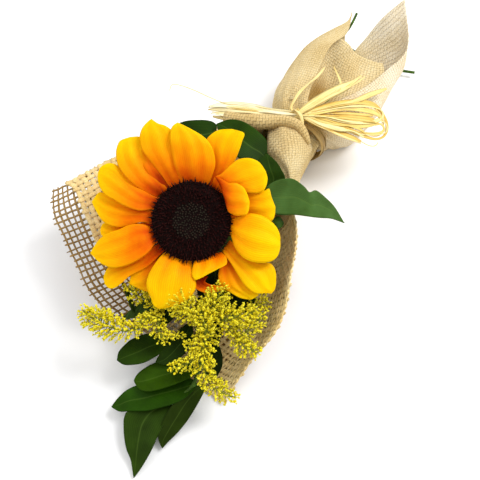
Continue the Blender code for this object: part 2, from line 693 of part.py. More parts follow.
KNOT = (33.0, 68.0, 53.2)
STRANDS = [
    [(33, 68, 55, 3.2), (13, 64, 54, 3.2), (-10, 59, 51, 2.8), (-36, 53, 46, 1.6)],
    [(33, 67, 55, 2.6), (11, 59, 54, 2.4), (-11, 53, 51, 2.2), (-32, 46, 46, 1.2)],
    [(31, 68, 55, 1.4), (-6, 60, 52.5, 1.2), (-38, 55, 46, 1.0), (-60, 58, 40, 0.9), (-80, 62, 36, 0.7)],
    [(33, 68, 55, 3.2), (38, 89, 55, 3.0), (48, 107, 53, 2.6), (57, 125, 50, 1.2)],
    [(30, 68, 55, 1.5), (23, 83, 54, 1.4), (25, 100, 53, 1.3), (29, 119, 53, 0.8)],
    [(34, 68, 55, 2.6), (49, 86, 52, 2.8), (66, 105, 48, 2.6), (79, 113, 43, 1.8), (89, 108, 40, 1.6),
     (85, 96, 41, 1.8), (66, 88, 46, 2.2), (36, 69, 55, 2.6)],
    [(35, 67, 55, 2.6), (55, 72, 50, 2.8), (73, 77, 44, 2.6), (83, 81, 39, 1.6), (95, 93, 34, 1.2),
     (93, 101, 35, 1.2), (85, 91, 38, 1.2), (65, 80, 46, 2.0), (36, 67, 55, 2.4)],
    [(36, 67, 54.5, 1.4), (57, 71, 47, 1.4), (74, 75, 40, 1.2), (85, 77, 34, 1.0), (92, 81, 31, 1.0),
     (94, 86, 31, 1.0), (75, 79, 40, 1.1), (36, 68, 54.5, 1.4)],
]


def raffia_binding():
    """The raffia wound round the gathered neck: an oval band with three ridges."""
    around = 32
    width = BINDING_WIDTH
    front = 0.5 * (NECK_FRONT + NECK_BACK - width)
    outline = [(GAP * 2, 0.0), (BINDING_THICKNESS, 0.0), (BINDING_THICKNESS + 0.9, width / 4),
               (BINDING_THICKNESS, width / 2), (BINDING_THICKNESS + 0.9, 3 * width / 4),
               (BINDING_THICKNESS, width), (GAP * 2, width)]
    bm = bmesh.new()
    rings = []
    for k in range(around):
        angle = 2 * math.pi * k / around
        ring = []
        for out, along in outline:
            x = NECK_CENTRE[0] + (NECK_SEMI_AXES[0] + out) * math.cos(angle)
            z = NECK_CENTRE[1] + (NECK_SEMI_AXES[1] + out) * math.sin(angle)
            ring.append(bm.verts.new(Vector((x, front + along, z)) * MM))
        rings.append(ring)
    for k in range(around):
        here, after = rings[k], rings[(k + 1) % around]
        for p in range(len(outline)):
            q = (p + 1) % len(outline)
            bm.faces.new((here[p], after[p], after[q], here[q]))
    bmesh.ops.recalc_face_normals(bm, faces=bm.faces)
    mesh = bpy.data.meshes.new("binding")
    bm.to_mesh(mesh)
    bm.free()
    finish(new_object("raffia_binding", mesh), "raffia_binding", material("raffia", STRAW, 0.6))


def raffia_bow():
    """The knot on top of the binding, with its loops and loose ends."""
    pieces = [ball("knot", KNOT, 7.0, (1.1, 0.9, 0.62), 1)]
    for strand in STRANDS:
        path = smooth_path(strand, 2)
        half = len(path) // 2
        pieces.append(tube("strand", path[:half + 1], 0))
        pieces.append(tube("strand", path[half - 1:], 0))
    fuse("raffia_bow", pieces, material("raffia", STRAW, 0.6))


def clear_scene():
    """Removes what the scene holds, and adds the bouquet's collection and its place."""
    for obj in list(bpy.data.objects):
        bpy.data.objects.remove(obj)
    group = bpy.data.collections.new("sunflower_bouquet")
    bpy.context.scene.collection.children.link(group)
    place = bpy.data.objects.new("bouquet_place", None)
    place.location = Vector(TO_ORIGIN) * MM
    group.objects.link(place)


def main():
    clear_scene()
    draw = random.Random(SEED)
    sunflower_disc()
    sunflower_petals()
    sunflower_stem()
    for name in RUSCUS:
        ruscus(name)
    for name in GOLDENROD:
        goldenrod(name, draw)
    burlap_wrap()
    raffia_binding()
    raffia_bow()


main()
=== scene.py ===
"""The looks of the single sunflower bouquet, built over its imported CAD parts.

The lists give places in millimetres on the table, as the CAD part does, with z = 0 on the table and the
camera looking down. TO_ORIGIN then moves them to the part's own origin. Petals are given in the head's own
frame: X to the right of the face, Y up along it and Z out of it.

Many of the lists are data, not a design: other scripts worked them out in millimetres from points picked
by eye on the photograph. These are all of COLLAR_ROWS, FILLING_SPRIGS, PETALS, ROLL and RUSCUS_LEAVES, the
places in STRIPS, and parts of GOLDENROD and SHEET_ROWS.
"""
import math
import random

import bpy
import numpy as np
from mathutils import Matrix, Vector


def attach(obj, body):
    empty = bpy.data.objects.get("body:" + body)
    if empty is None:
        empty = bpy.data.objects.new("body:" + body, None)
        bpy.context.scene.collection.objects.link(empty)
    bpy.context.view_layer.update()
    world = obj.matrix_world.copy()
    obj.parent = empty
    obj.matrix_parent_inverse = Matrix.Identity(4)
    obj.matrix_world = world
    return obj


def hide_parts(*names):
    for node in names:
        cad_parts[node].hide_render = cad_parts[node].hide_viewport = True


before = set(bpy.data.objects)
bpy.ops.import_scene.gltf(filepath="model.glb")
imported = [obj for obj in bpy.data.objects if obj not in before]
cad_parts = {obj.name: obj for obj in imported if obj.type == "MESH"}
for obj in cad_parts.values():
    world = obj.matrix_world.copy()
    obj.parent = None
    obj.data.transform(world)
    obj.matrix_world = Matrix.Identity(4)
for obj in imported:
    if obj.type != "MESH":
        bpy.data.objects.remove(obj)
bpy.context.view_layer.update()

MM = 0.001
SEED = 23
TO_ORIGIN = np.array((0.0, -6.0, 0.0))
WELD = 0.00002

HEAD_CENTRE = (11.0, -61.0, 70.0)
FACE_AZIMUTH = 27.0
FACE_ELEVATION = 60.0
DISC_RADIUS = 27.0
PETAL_THICKNESS = 0.5
LEAF_THICKNESS = 0.6

THREAD_PITCH = (4.4, 3.8)
THREAD_SIDES = 6
THREAD_THICKNESS = 1.0
THREAD_SWING = 0.45


# Shaping tools

def pick(*objects):
    """Selects these objects and nothing else."""
    bpy.ops.object.select_all(action="DESELECT")
    for obj in objects:
        obj.select_set(True)
    bpy.context.view_layer.objects.active = objects[0]


def apply_modifiers(obj):
    pick(obj)
    for modifier in list(obj.modifiers):
        bpy.ops.object.modifier_apply(modifier=modifier.name)


def joined(name, pieces):
    """Several pieces as one, under one name."""
    pick(*pieces)
    bpy.ops.object.join()
    made = bpy.context.object
    made.name = made.data.name = name
    return made


def finished(piece, name, looks, slot, *nodes):
    """Names a piece, gives it its looks, and seats it on the frame in place of its CAD nodes."""
    piece.name = piece.data.name = name
    if looks:
        piece.data.materials.clear()
        piece.data.materials.append(looks)
    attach(piece, "root")
    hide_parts(*nodes)
    return piece


def on_table(points):
    """Places on the table in millimetres, as places in the part's frame in metres."""
    return (np.asarray(points, float) + TO_ORIGIN) * MM


def head_matrix():
    turn = Matrix.Rotation(math.radians(FACE_AZIMUTH), 4, "Z")
    lean = Matrix.Rotation(math.radians(90.0 - FACE_ELEVATION), 4, "X")
    return np.array(Matrix.Translation(Vector(HEAD_CENTRE)) @ turn @ lean)


def on_head(points):
    """Places in the head's own frame in millimetres, as places in the part's frame in metres."""
    place = head_matrix()
    return on_table(np.asarray(points, float) @ place[:3, :3].T + place[:3, 3])


def smooth(points, steps):
    """Points on a smooth curve through the given ones (Catmull-Rom); works on rows of points too."""
    p = np.asarray(points, float)
    p = np.concatenate((p[:1], p, p[-1:]))
    t = (np.arange(steps) / steps).reshape((-1,) + (1,) * (p.ndim - 1))
    spans = [0.5 * (2 * b + (c - a) * t + (2 * a - 5 * b + 4 * c - d) * t ** 2
                    + (3 * b - a - 3 * c + d) * t ** 3)
             for a, b, c, d in zip(p, p[1:], p[2:], p[3:])]
    return np.concatenate(spans + [p[-1:]])


def evenly(rows, count, crowd=1.0):
    """Rows spaced evenly by length along their middle line, or closer together towards the end."""
    middle = rows[:, :3] if rows.shape[1] < 6 else (rows[:, :3] + rows[:, 3:6]) / 2
    reach = np.concatenate(([0.0], np.cumsum(np.linalg.norm(np.diff(middle, axis=0), axis=1))))
    wanted = reach[-1] * (1 - (1 - np.linspace(0, 1, count)) ** crowd)
    return np.stack([np.interp(wanted, reach, column) for column in rows.T], axis=1)


def unit(vectors):
    return vectors / np.maximum(np.linalg.norm(vectors, axis=-1, keepdims=True), 1e-12)


def net(name, points, closed=False, **values):
    """A grid laid over rows of points in metres, with its values stored per point as attributes.

    A closed one is a tube: its seam is merged and its two ends are filled.
    """
    points = np.asarray(points, float)
    if closed:
        points = np.concatenate((points, points[:, :1]), axis=1)
        values = {key: np.concatenate((v, v[:, :1]), axis=1) for key, v in values.items()}
    rows, across = points.shape[:2]
    bpy.ops.object.select_all(action="DESELECT")
    bpy.ops.mesh.primitive_grid_add(x_subdivisions=across - 1, y_subdivisions=rows - 1, size=1.0)
    obj = bpy.context.object
    obj.name = obj.data.name = name
    obj.data.vertices.foreach_set("co", points.ravel())
    for key, value in values.items():
        store(obj.data, key, value)
    bpy.ops.object.mode_set(mode="EDIT")
    bpy.ops.mesh.select_all(action="SELECT")
    bpy.ops.mesh.remove_doubles(threshold=WELD)
    if closed:
        bpy.ops.mesh.fill_holes(sides=0)
        bpy.ops.mesh.select_all(action="SELECT")
        bpy.ops.mesh.normals_make_consistent(inside=False)
    bpy.ops.object.mode_set(mode="OBJECT")
    bpy.ops.object.shade_smooth()
    return obj


def store(mesh, name, value):
    """Stores one number or one linear colour per point."""
    value = np.asarray(value, np.float32)
    count = len(mesh.vertices)
    if value.size == count:
        mesh.attributes.new(name, "FLOAT", "POINT").data.foreach_set("value", value.ravel())
    else:
        full = np.ones((count, 4), np.float32)
        full[:, :3] = value.reshape(count, -1)[:, :3]
        mesh.attributes.new(name, "FLOAT_COLOR", "POINT").data.foreach_set("color", full.ravel())


def ring_frames(path):
    """For each point of a path: its direction, a level side and an up that is square to both."""
    along = unit(np.gradient(path, axis=0))
    side = unit(np.cross((0.0, 0.0, 1.0), along) + (1e-6, 0, 0))
    return along, side, np.cross(along, side)


def tube(name, points, sides=8, steps=6, place=on_table, **values):
    """A round tapered tube through points of (x, y, z, radius), closed at both ends."""
    path = smooth(points, steps)
    centres = place(path[:, :3])
    along, side, up = ring_frames(centres)
    turn = np.linspace(0, 2 * np.pi, sides, endpoint=False)[None, :, None]
    out = side[:, None] * np.cos(turn) + up[:, None] * np.sin(turn)
    rings = centres[:, None] + out * path[:, None, 3:] * MM
    shape = rings.shape[:2]
    values = {key: np.broadcast_to(np.asarray(v, float), shape + np.shape(v)).copy()
              for key, v in values.items()}
    return net(name, rings, closed=True, **values)


def stamp(name, models, copies):
    """Many copies of small models in one mesh.

    Each copy is (model number, 4 x 4 placing matrix, tone). "tip" holds how far up its model a point is.
    """
    spots, faces, tips, tones, start = [], [], [], [], 0
    for number, model in enumerate(models):
        chosen = [(m, tone) for k, m, tone in copies if k == number]
        if not chosen:
            continue
        shape = np.array([v.co for v in model.data.vertices])
        height = (shape[:, 2] - shape[:, 2].min()) / np.ptp(shape[:, 2])
        rings = [list(face.vertices) for face in model.data.polygons]
        for matrix, tone in chosen:
            spots.append(shape @ matrix[:3, :3].T + matrix[:3, 3])
            faces += [[start + v for v in ring] for ring in rings]
            tips.append(height)
            tones.append(np.full(len(shape), tone))
            start += len(shape)
    mesh = bpy.data.meshes.new(name)
    mesh.from_pydata(np.concatenate(spots).tolist(), [], faces)
    store(mesh, "tip", np.concatenate(tips))
    store(mesh, "tone", np.concatenate(tones))
    obj = bpy.data.objects.new(name, mesh)
    bpy.context.scene.collection.objects.link(obj)
    for model in models:
        bpy.data.objects.remove(model)
    pick(obj)
    bpy.ops.object.shade_smooth()
    return obj


def turned(outline, sides):
    """Rings round the Z axis, one for each (radius, height) of an outline."""
    turn = np.linspace(0, 2 * np.pi, sides, endpoint=False)
    return np.array([np.stack((r * np.cos(turn), r * np.sin(turn), np.full(sides, h)), axis=1)
                     for r, h in outline])


def aimed(spot, direction, size, spin):
    """The matrix that stands a model on a spot in metres, with its Z axis along a direction."""
    z = unit(np.asarray(direction, float))
    helper = np.array((0.0, 0.0, 1.0)) if abs(z[2]) < 0.9 else np.array((1.0, 0.0, 0.0))
    x = unit(np.cross(helper, z))
    y = np.cross(z, x)
    matrix = np.eye(4)
    matrix[:3, 0] = (x * math.cos(spin) + y * math.sin(spin)) * size
    matrix[:3, 1] = (y * math.cos(spin) - x * math.sin(spin)) * size
    matrix[:3, 2] = z * size
    matrix[:3, 3] = spot
    return matrix


def model_edges(test):
    """In edit mode: deselects all, then selects the points for which the test of a place in mm is true."""
    bpy.ops.mesh.select_all(action="DESELECT")
    bpy.ops.object.mode_set(mode="OBJECT")
    for vert in bpy.context.object.data.vertices:
        vert.select = bool(test(vert.co / MM))
    bpy.ops.object.mode_set(mode="EDIT")


# Materials

def linear(code):
    """An sRGB hex colour as linear RGBA."""
    parts = [int(code[i:i + 2], 16) / 255 for i in (1, 3, 5)]
    return (*[p / 12.92 if p <= 0.04045 else ((p + 0.055) / 1.055) ** 2.4 for p in parts], 1.0)


def colour(code):
    """An sRGB hex colour as linear RGB, to be stored on a mesh."""
    return np.array(linear(code)[:3])


def node(tree, kind, inputs=None, stops=None, **settings):
    """Adds a node with its settings and links; an input is a value, or (node, output) to link from."""
    made = tree.nodes.new(kind)
    for key, value in settings.items():
        setattr(made, key, value)
    for key, value in (inputs or {}).items():
        if isinstance(value, tuple) and isinstance(value[0], bpy.types.Node):
            tree.links.new(value[0].outputs[value[1]], made.inputs[key])
        else:
            made.inputs[key].default_value = value
    if stops:
        steps = made.color_ramp.elements
        while len(steps) < len(stops):
            steps.new(1.0)
        for step, (place, code) in zip(steps, stops):
            step.position, step.color = place, linear(code)
    return made


def new_material(name):
    made = bpy.data.materials.new(name)
    made.use_nodes = True
    made.node_tree.nodes.clear()
    return made, made.node_tree


def surface(tree, shader):
    node(tree, "ShaderNodeOutputMaterial", {"Surface": (shader, 0)})


def petal_tissue():
    """Living petal: finely ribbed, orange at the root and clear yellow at the tip, with a satin glow; the
    orange is partly its own colour and partly painted shade.
    """
    made, tree = new_material("sunflower_petal_tissue")
    uv = node(tree, "ShaderNodeUVMap", uv_map="UVMap")
    axes = node(tree, "ShaderNodeSeparateXYZ", {0: (uv, 0)})
    spot = node(tree, "ShaderNodeTexCoord")
    # Its warmth is partly the petal's own colour and partly painted shade: petals turned from the light are
    # warmer
    warmth = node(tree, "ShaderNodeAttribute", attribute_name="warmth")
    # Patches about 12 mm across pull the colour towards the root's or the tip's
    patches = node(tree, "ShaderNodeTexNoise", {"Vector": (spot, "Object"), "Scale": 85.0, "Detail": 3.0})
    place = node(tree, "ShaderNodeMath", {0: (warmth, "Fac"), 1: -0.5, 2: (axes, 1)},
                 operation="MULTIPLY_ADD")
    place = node(tree, "ShaderNodeMath", {0: (patches, 0), 1: 0.34, 2: (place, 0)}, operation="MULTIPLY_ADD")
    off_middle = node(tree, "ShaderNodeMath", {0: (axes, 0), 1: 0.5}, operation="SUBTRACT")
    margin = node(tree, "ShaderNodeMath", {0: (off_middle, 0), 1: (off_middle, 0)}, operation="MULTIPLY")
    place = node(tree, "ShaderNodeMath", {0: (margin, 0), 1: 0.7, 2: (place, 0)}, operation="MULTIPLY_ADD")
    # The orange towards the root, and along the middle away from the lighter margins, is partly the petal's
    # own colour and partly painted shade
    shade = node(tree, "ShaderNodeValToRGB", {"Fac": (place, 0)}, stops=(
        (0.0, "#A83600"), (0.12, "#D65C00"), (0.28, "#EC8200"), (0.45, "#F49F00"), (0.66, "#FAB900"),
        (0.92, "#FCCE00")))
    # Ribs 0.9 mm apart, wavering a little
    long_way = node(tree, "ShaderNodeMapping", {"Vector": (uv, 0), "Scale": (1.0, 0.12, 1.0)})
    ribs = node(tree, "ShaderNodeTexWave", {"Vector": (long_way, 0), "Scale": 7.0, "Distortion": 2.6,
                                            "Detail": 3.0, "Detail Scale": 3.0}, bands_direction="X")
    rib_share = node(tree, "ShaderNodeMath", {0: (ribs, "Fac"), 1: 0.22}, operation="MULTIPLY")
    ribbed = node(tree, "ShaderNodeMix", {0: (rib_share, 0), 6: (shade, 0), 7: linear("#F2A24A")},
                  data_type="RGBA", blend_type="MULTIPLY")
    # A few long creases, deepest at the root, with painted shade in them: a darker orange
    fold_way = node(tree, "ShaderNodeMapping", {"Vector": (uv, 0), "Scale": (3.2, 0.6, 1.0)})
    folds = node(tree, "ShaderNodeTexNoise", {"Vector": (fold_way, 0), "Scale": 1.0, "Detail": 1.0,
                                              "Distortion": 0.5})
    depth = node(tree, "ShaderNodeMapRange", {"Value": (folds, 0), "From Min": 0.56, "From Max": 0.36,
                                              "To Min": 0.0, "To Max": 0.45})
    rootward = node(tree, "ShaderNodeMapRange", {"Value": (axes, 1), "From Min": 0.1, "From Max": 0.95,
                                                 "To Min": 1.0, "To Max": 0.15})
    crease = node(tree, "ShaderNodeMath", {0: (depth, 0), 1: (rootward, 0)}, operation="MULTIPLY")
    # Painted shade: the creases' hollows are darkened towards orange
    creased = node(tree, "ShaderNodeMix", {0: (crease, 0), 6: (ribbed, 2), 7: linear("#F08A10")},
                   data_type="RGBA", blend_type="MULTIPLY")
    height = node(tree, "ShaderNodeMath", {0: (folds, 0), 1: 5.0, 2: (ribs, "Fac")}, operation="MULTIPLY_ADD")
    bump = node(tree, "ShaderNodeBump", {"Height": (height, 0), "Strength": 0.4, "Distance": 0.0003})
    shader = node(tree, "ShaderNodeBsdfPrincipled", {
        "Base Color": (creased, 2), "Roughness": 0.5, "Specular IOR Level": 0.04, "Normal": (bump, 0),
        "Subsurface Weight": 0.1, "Subsurface Radius": (1.0, 0.5, 0.02), "Subsurface Scale": 0.0012})
    surface(tree, shader)
    return made


def floret_tissue():
    """Disc florets: matt, almost black brown, with dry rust-brown tips that catch the light."""
    made, tree = new_material("disc_floret_tissue")
    spot = node(tree, "ShaderNodeTexCoord")
    tone = node(tree, "ShaderNodeAttribute", attribute_name="tone")
    tip = node(tree, "ShaderNodeAttribute", attribute_name="tip")
    grain = node(tree, "ShaderNodeTexNoise", {"Vector": (spot, "Object"), "Scale": 900.0, "Detail": 2.0})
    place = node(tree, "ShaderNodeMath", {0: (grain, 0), 1: 0.3, 2: (tone, "Fac")}, operation="MULTIPLY_ADD")
    shade = node(tree, "ShaderNodeValToRGB", {"Fac": (place, 0)}, stops=(
        (0.0, "#0C0705"), (0.35, "#180605"), (0.7, "#240707"), (1.0, "#35100B")))
    share = node(tree, "ShaderNodeMath", {0: (tip, "Fac"), 1: 3.0}, operation="POWER")
    # Olive grey tips in the middle of the disc, and maroon ones in the ring round it
    ends = node(tree, "ShaderNodeValToRGB", {"Fac": (tone, "Fac")}, stops=(
        (0.08, "#2E2A20"), (0.2, "#3A1410")))
    tipped = node(tree, "ShaderNodeMix", {0: (share, 0), 6: (shade, 0), 7: (ends, 0)}, data_type="RGBA")
    bump = node(tree, "ShaderNodeBump", {"Height": (grain, 0), "Strength": 0.4, "Distance": 0.0003})
    shader = node(tree, "ShaderNodeBsdfPrincipled", {
        "Base Color": (tipped, 2), "Roughness": 0.85, "Specular IOR Level": 0.08, "Normal": (bump, 0)})
    surface(tree, shader)
    return made


def waxy_leaf():
    """Ruscus leaf: stiff, waxy and dark green, with close veins lengthwise and a pale line along its fold."""
    made, tree = new_material("waxy_ruscus_leaf")
    uv = node(tree, "ShaderNodeUVMap", uv_map="UVMap")
    axes = node(tree, "ShaderNodeSeparateXYZ", {0: (uv, 0)})
    spot = node(tree, "ShaderNodeTexCoord")
    tint = node(tree, "ShaderNodeAttribute", attribute_name="tint")
    patches = node(tree, "ShaderNodeTexNoise", {"Vector": (spot, "Object"), "Scale": 60.0, "Detail": 4.0})
    mottle = node(tree, "ShaderNodeValToRGB", {"Fac": (patches, 0)}, stops=(
        (0.3, "#B9B9A0"), (0.7, "#FFFFFF")))
    body = node(tree, "ShaderNodeMix", {0: 1.0, 6: (tint, 0), 7: (mottle, 0)}, data_type="RGBA",
                blend_type="MULTIPLY")
    long_way = node(tree, "ShaderNodeMapping", {"Vector": (uv, 0), "Scale": (1.0, 0.06, 1.0)})
    veins = node(tree, "ShaderNodeTexWave", {"Vector": (long_way, 0), "Scale": 6.0, "Distortion": 0.8,
                                             "Detail": 2.0, "Detail Scale": 2.0}, bands_direction="X")
    vein_share = node(tree, "ShaderNodeMath", {0: (veins, "Fac"), 1: 0.04}, operation="MULTIPLY")
    veined = node(tree, "ShaderNodeMix", {0: (vein_share, 0), 6: (body, 2), 7: linear("#6F8A35")},
                  data_type="RGBA")
    off_middle = node(tree, "ShaderNodeMath", {0: (axes, 0), 1: 0.5}, operation="SUBTRACT")
    away = node(tree, "ShaderNodeMath", {0: (off_middle, 0)}, operation="ABSOLUTE")
    midrib = node(tree, "ShaderNodeMapRange", {"Value": (away, 0), "From Min": 0.012, "From Max": 0.035,
                                               "To Min": 0.13, "To Max": 0.0})
    ribbed = node(tree, "ShaderNodeMix", {0: (midrib, 0), 6: (veined, 2), 7: linear("#6E8C3A")},
                  data_type="RGBA")
    height = node(tree, "ShaderNodeMath", {0: (midrib, 0), 1: -2.0, 2: (veins, "Fac")},
                  operation="MULTIPLY_ADD")
    bump = node(tree, "ShaderNodeBump", {"Height": (height, 0), "Strength": 0.25, "Distance": 0.0003})
    shader = node(tree, "ShaderNodeBsdfPrincipled", {
        "Base Color": (ribbed, 2), "Roughness": 0.4, "Specular IOR Level": 0.04, "Normal": (bump, 0)})
    surface(tree, shader)
    return made


def fresh_stem():
    """Cut green stem: ribbed lengthwise and slightly downy, paler along the ribs."""
    made, tree = new_material("fresh_green_stem")
    spot = node(tree, "ShaderNodeTexCoord")
    tint = node(tree, "ShaderNodeAttribute", attribute_name="tint")
    streaks = node(tree, "ShaderNodeMapping", {"Vector": (spot, "Object"), "Scale": (900.0, 120.0, 900.0)})
    streaks = node(tree, "ShaderNodeTexNoise", {"Vector": (streaks, 0), "Scale": 1.0, "Detail": 3.0})
    mottle = node(tree, "ShaderNodeValToRGB", {"Fac": (streaks, 0)}, stops=(
        (0.3, "#9FA08A"), (0.7, "#FFFFFF")))
    body = node(tree, "ShaderNodeMix", {0: 1.0, 6: (tint, 0), 7: (mottle, 0)}, data_type="RGBA",
                blend_type="MULTIPLY")
    bump = node(tree, "ShaderNodeBump", {"Height": (streaks, 0), "Strength": 0.4, "Distance": 0.0004})
    shader = node(tree, "ShaderNodeBsdfPrincipled", {
        "Base Color": (body, 2), "Roughness": 0.55, "Specular IOR Level": 0.15, "Normal": (bump, 0)})
    surface(tree, shader)
    return made


def goldenrod_tissue():
    """Goldenrod florets: soft and matt, a darker mustard deeper in the cluster as painted shade, and lemon at
    the tips.
    """
    made, tree = new_material("goldenrod_floret_tissue")
    spot = node(tree, "ShaderNodeTexCoord")
    tone = node(tree, "ShaderNodeAttribute", attribute_name="tone")
    tip = node(tree, "ShaderNodeAttribute", attribute_name="tip")
    grain = node(tree, "ShaderNodeTexNoise", {"Vector": (spot, "Object"), "Scale": 700.0, "Detail": 2.0})
    place = node(tree, "ShaderNodeMath", {0: (tip, "Fac"), 1: 0.3, 2: (tone, "Fac")},
                 operation="MULTIPLY_ADD")
    place = node(tree, "ShaderNodeMath", {0: (grain, 0), 1: 0.2, 2: (place, 0)}, operation="MULTIPLY_ADD")
    shade = node(tree, "ShaderNodeValToRGB", {"Fac": (place, 0)}, stops=(
        (0.0, "#A39C14"), (0.25, "#D4BF12"), (0.5, "#F0DA18"), (0.9, "#FFF23C")))
    shader = node(tree, "ShaderNodeBsdfPrincipled", {
        "Base Color": (shade, 0), "Roughness": 0.75, "Specular IOR Level": 0.08,
        "Subsurface Weight": 0.15, "Subsurface Radius": (1.0, 0.85, 0.1), "Subsurface Scale": 0.001})
    surface(tree, shader)
    return made


def jute_yarn():
    """Woven jute: dry, matt, coarse yarn, hairy on its surface, its colour changing from thread to thread.

    Cloth that isn't modelled yarn by yarn gets its weave from its place in mm across and along it.
    """
    made, tree = new_material("woven_jute_yarn")
    spot = node(tree, "ShaderNodeTexCoord")
    tint = node(tree, "ShaderNodeAttribute", attribute_name="tint")
    place = node(tree, "ShaderNodeAttribute", attribute_name="weave_place")
    # Fibres are too fine to show, so the noise has a grain of 0.8 mm, with slow stains 25 mm across
    fibre = node(tree, "ShaderNodeTexNoise", {"Vector": (spot, "Object"), "Scale": 1200.0, "Detail": 3.0})
    stain = node(tree, "ShaderNodeTexNoise", {"Vector": (spot, "Object"), "Scale": 40.0, "Detail": 2.0})
    uneven = node(tree, "ShaderNodeTexNoise", {"Vector": (spot, "Object"), "Scale": 130.0, "Detail": 2.0})
    both = node(tree, "ShaderNodeMath", {0: (stain, 0), 1: 0.6, 2: (fibre, 0)}, operation="MULTIPLY_ADD")
    mottle = node(tree, "ShaderNodeValToRGB", {"Fac": (both, 0)}, stops=(
        (0.45, "#C2AD86"), (0.75, "#F2E8D2"), (1.0, "#FFFFFF")))
    # The sine of each way is 0 between two yarns, and the sign of their product says which way is on top
    axes = node(tree, "ShaderNodeSeparateXYZ", {0: (place, "Vector")})
    waves, tops = [], []
    for way in (0, 1):
        angle = node(tree, "ShaderNodeMath", {
            0: (axes, way), 1: math.pi / CLOTH_YARN_PITCH, 2: (uneven, 0)}, operation="MULTIPLY_ADD")
        waves.append(node(tree, "ShaderNodeMath", {0: (angle, 0)}, operation="SINE"))
        tops.append(node(tree, "ShaderNodeMath", {0: (waves[way], 0)}, operation="ABSOLUTE"))
    crossing = node(tree, "ShaderNodeMath", {0: (waves[0], 0), 1: (waves[1], 0)}, operation="MULTIPLY")
    over = node(tree, "ShaderNodeMath", {0: (crossing, 0), 1: 0.0}, operation="GREATER_THAN")
    raised = node(tree, "ShaderNodeMix", {0: (over, 0), 2: (tops[1], 0), 3: (tops[0], 0)},
                  data_type="FLOAT")
    # Between the yarns the cloth is darkened as painted shade, and sunk by the bump
    gap_depth_and_shade = node(tree, "ShaderNodeMapRange", {"Value": (raised, 0), "From Min": 0.05, "From Max": 0.6,
                                            "To Min": 0.48, "To Max": 0.0})
    gap_depth_and_shade = node(tree, "ShaderNodeMath", {0: (gap_depth_and_shade, 0), 1: (axes, 2)}, operation="MULTIPLY")
    body = node(tree, "ShaderNodeMix", {0: 1.0, 6: (tint, 0), 7: (mottle, 0)}, data_type="RGBA",
                blend_type="MULTIPLY")
    woven = node(tree, "ShaderNodeMix", {0: (gap_depth_and_shade, 0), 6: (body, 2), 7: linear("#6E4F24")},
                 data_type="RGBA")
    height = node(tree, "ShaderNodeMath", {0: (gap_depth_and_shade, 0), 1: -4.0, 2: (fibre, 0)}, operation="MULTIPLY_ADD")
    bump = node(tree, "ShaderNodeBump", {"Height": (height, 0), "Strength": 0.6, "Distance": 0.0005})
    shader = node(tree, "ShaderNodeBsdfPrincipled", {
        "Base Color": (woven, 2), "Roughness": 0.9, "Specular IOR Level": 0.08, "Normal": (bump, 0),
        "Sheen Weight": 0.06, "Sheen Roughness": 0.6})
    surface(tree, shader)
    return made


def raffia_strip():
    """Raffia: flat strips of palm leaf, splitting into fine fibres, pale straw with a dry satin shine."""
    made, tree = new_material("split_raffia_leaf")
    uv = node(tree, "ShaderNodeUVMap", uv_map="UVMap")
    spot = node(tree, "ShaderNodeTexCoord")
    tint = node(tree, "ShaderNodeAttribute", attribute_name="tint")
    long_way = node(tree, "ShaderNodeMapping", {"Vector": (uv, 0), "Scale": (34.0, 2.2, 1.0)})
    fibres = node(tree, "ShaderNodeTexNoise", {"Vector": (long_way, 0), "Scale": 1.0, "Detail": 3.0})
    stain = node(tree, "ShaderNodeTexNoise", {"Vector": (spot, "Object"), "Scale": 70.0, "Detail": 2.0})
    both = node(tree, "ShaderNodeMath", {0: (stain, 0), 1: 0.4, 2: (fibres, 0)}, operation="MULTIPLY_ADD")
    mottle = node(tree, "ShaderNodeValToRGB", {"Fac": (both, 0)}, stops=(
        (0.5, "#DCC592"), (0.75, "#FFFFFF")))
    body = node(tree, "ShaderNodeMix", {0: 1.0, 6: (tint, 0), 7: (mottle, 0)}, data_type="RGBA",
                blend_type="MULTIPLY")
    bump = node(tree, "ShaderNodeBump", {"Height": (fibres, 0), "Strength": 0.5, "Distance": 0.0003})
    shader = node(tree, "ShaderNodeBsdfPrincipled", {
        "Base Color": (body, 2), "Roughness": 0.5, "Specular IOR Level": 0.25, "Normal": (bump, 0)})
    surface(tree, shader)
    return made


def matt_board():
    """The table: a plain white matt board."""
    made, tree = new_material("white_matt_board")
    spot = node(tree, "ShaderNodeTexCoord")
    cloud = node(tree, "ShaderNodeTexNoise", {"Vector": (spot, "Object"), "Scale": 3.0})
    shade = node(tree, "ShaderNodeValToRGB", {"Fac": (cloud, 0)}, stops=(
        (0.0, "#F6F6F7"), (1.0, "#FCFCFC")))
    shader = node(tree, "ShaderNodeBsdfPrincipled", {
        "Base Color": (shade, 0), "Roughness": 0.9, "Specular IOR Level": 0.05})
    surface(tree, shader)
    return made


# The camera looks down on the bouquet from its flower end, as in the photograph

CAMERA_LENS = 52.5
CAMERA_SENSOR = 36.0
CAMERA_PLACE = Vector((0.150, -0.269, 0.466))
CAMERA_RIGHT = Vector((0.891, 0.454, 0.0))
CAMERA_BACK = Vector((0.227, -0.4455, 0.866))


def set_camera():
    bpy.ops.object.camera_add()
    camera = bpy.context.object
    camera.data.lens = CAMERA_LENS
    camera.data.sensor_width = CAMERA_SENSOR
    right, back = CAMERA_RIGHT.normalized(), CAMERA_BACK.normalized()
    columns = (right, back.cross(right), back, CAMERA_PLACE)
    camera.matrix_world = Matrix([[column[row] for column in columns] for row in range(3)] + [(0, 0, 0, 1)])
    bpy.context.scene.camera = camera


# Raffia: the bow's strips as free cords, the knot that holds them and the binding round the neck

KNOT = (33.0, 68.0, 53.2)
NECK_CENTRE = (32.0, 26.0)
NECK_SEMI_AXES = (21.5, 20.0)
NECK_FRONT = 63.0
NECK_BACK = 73.0
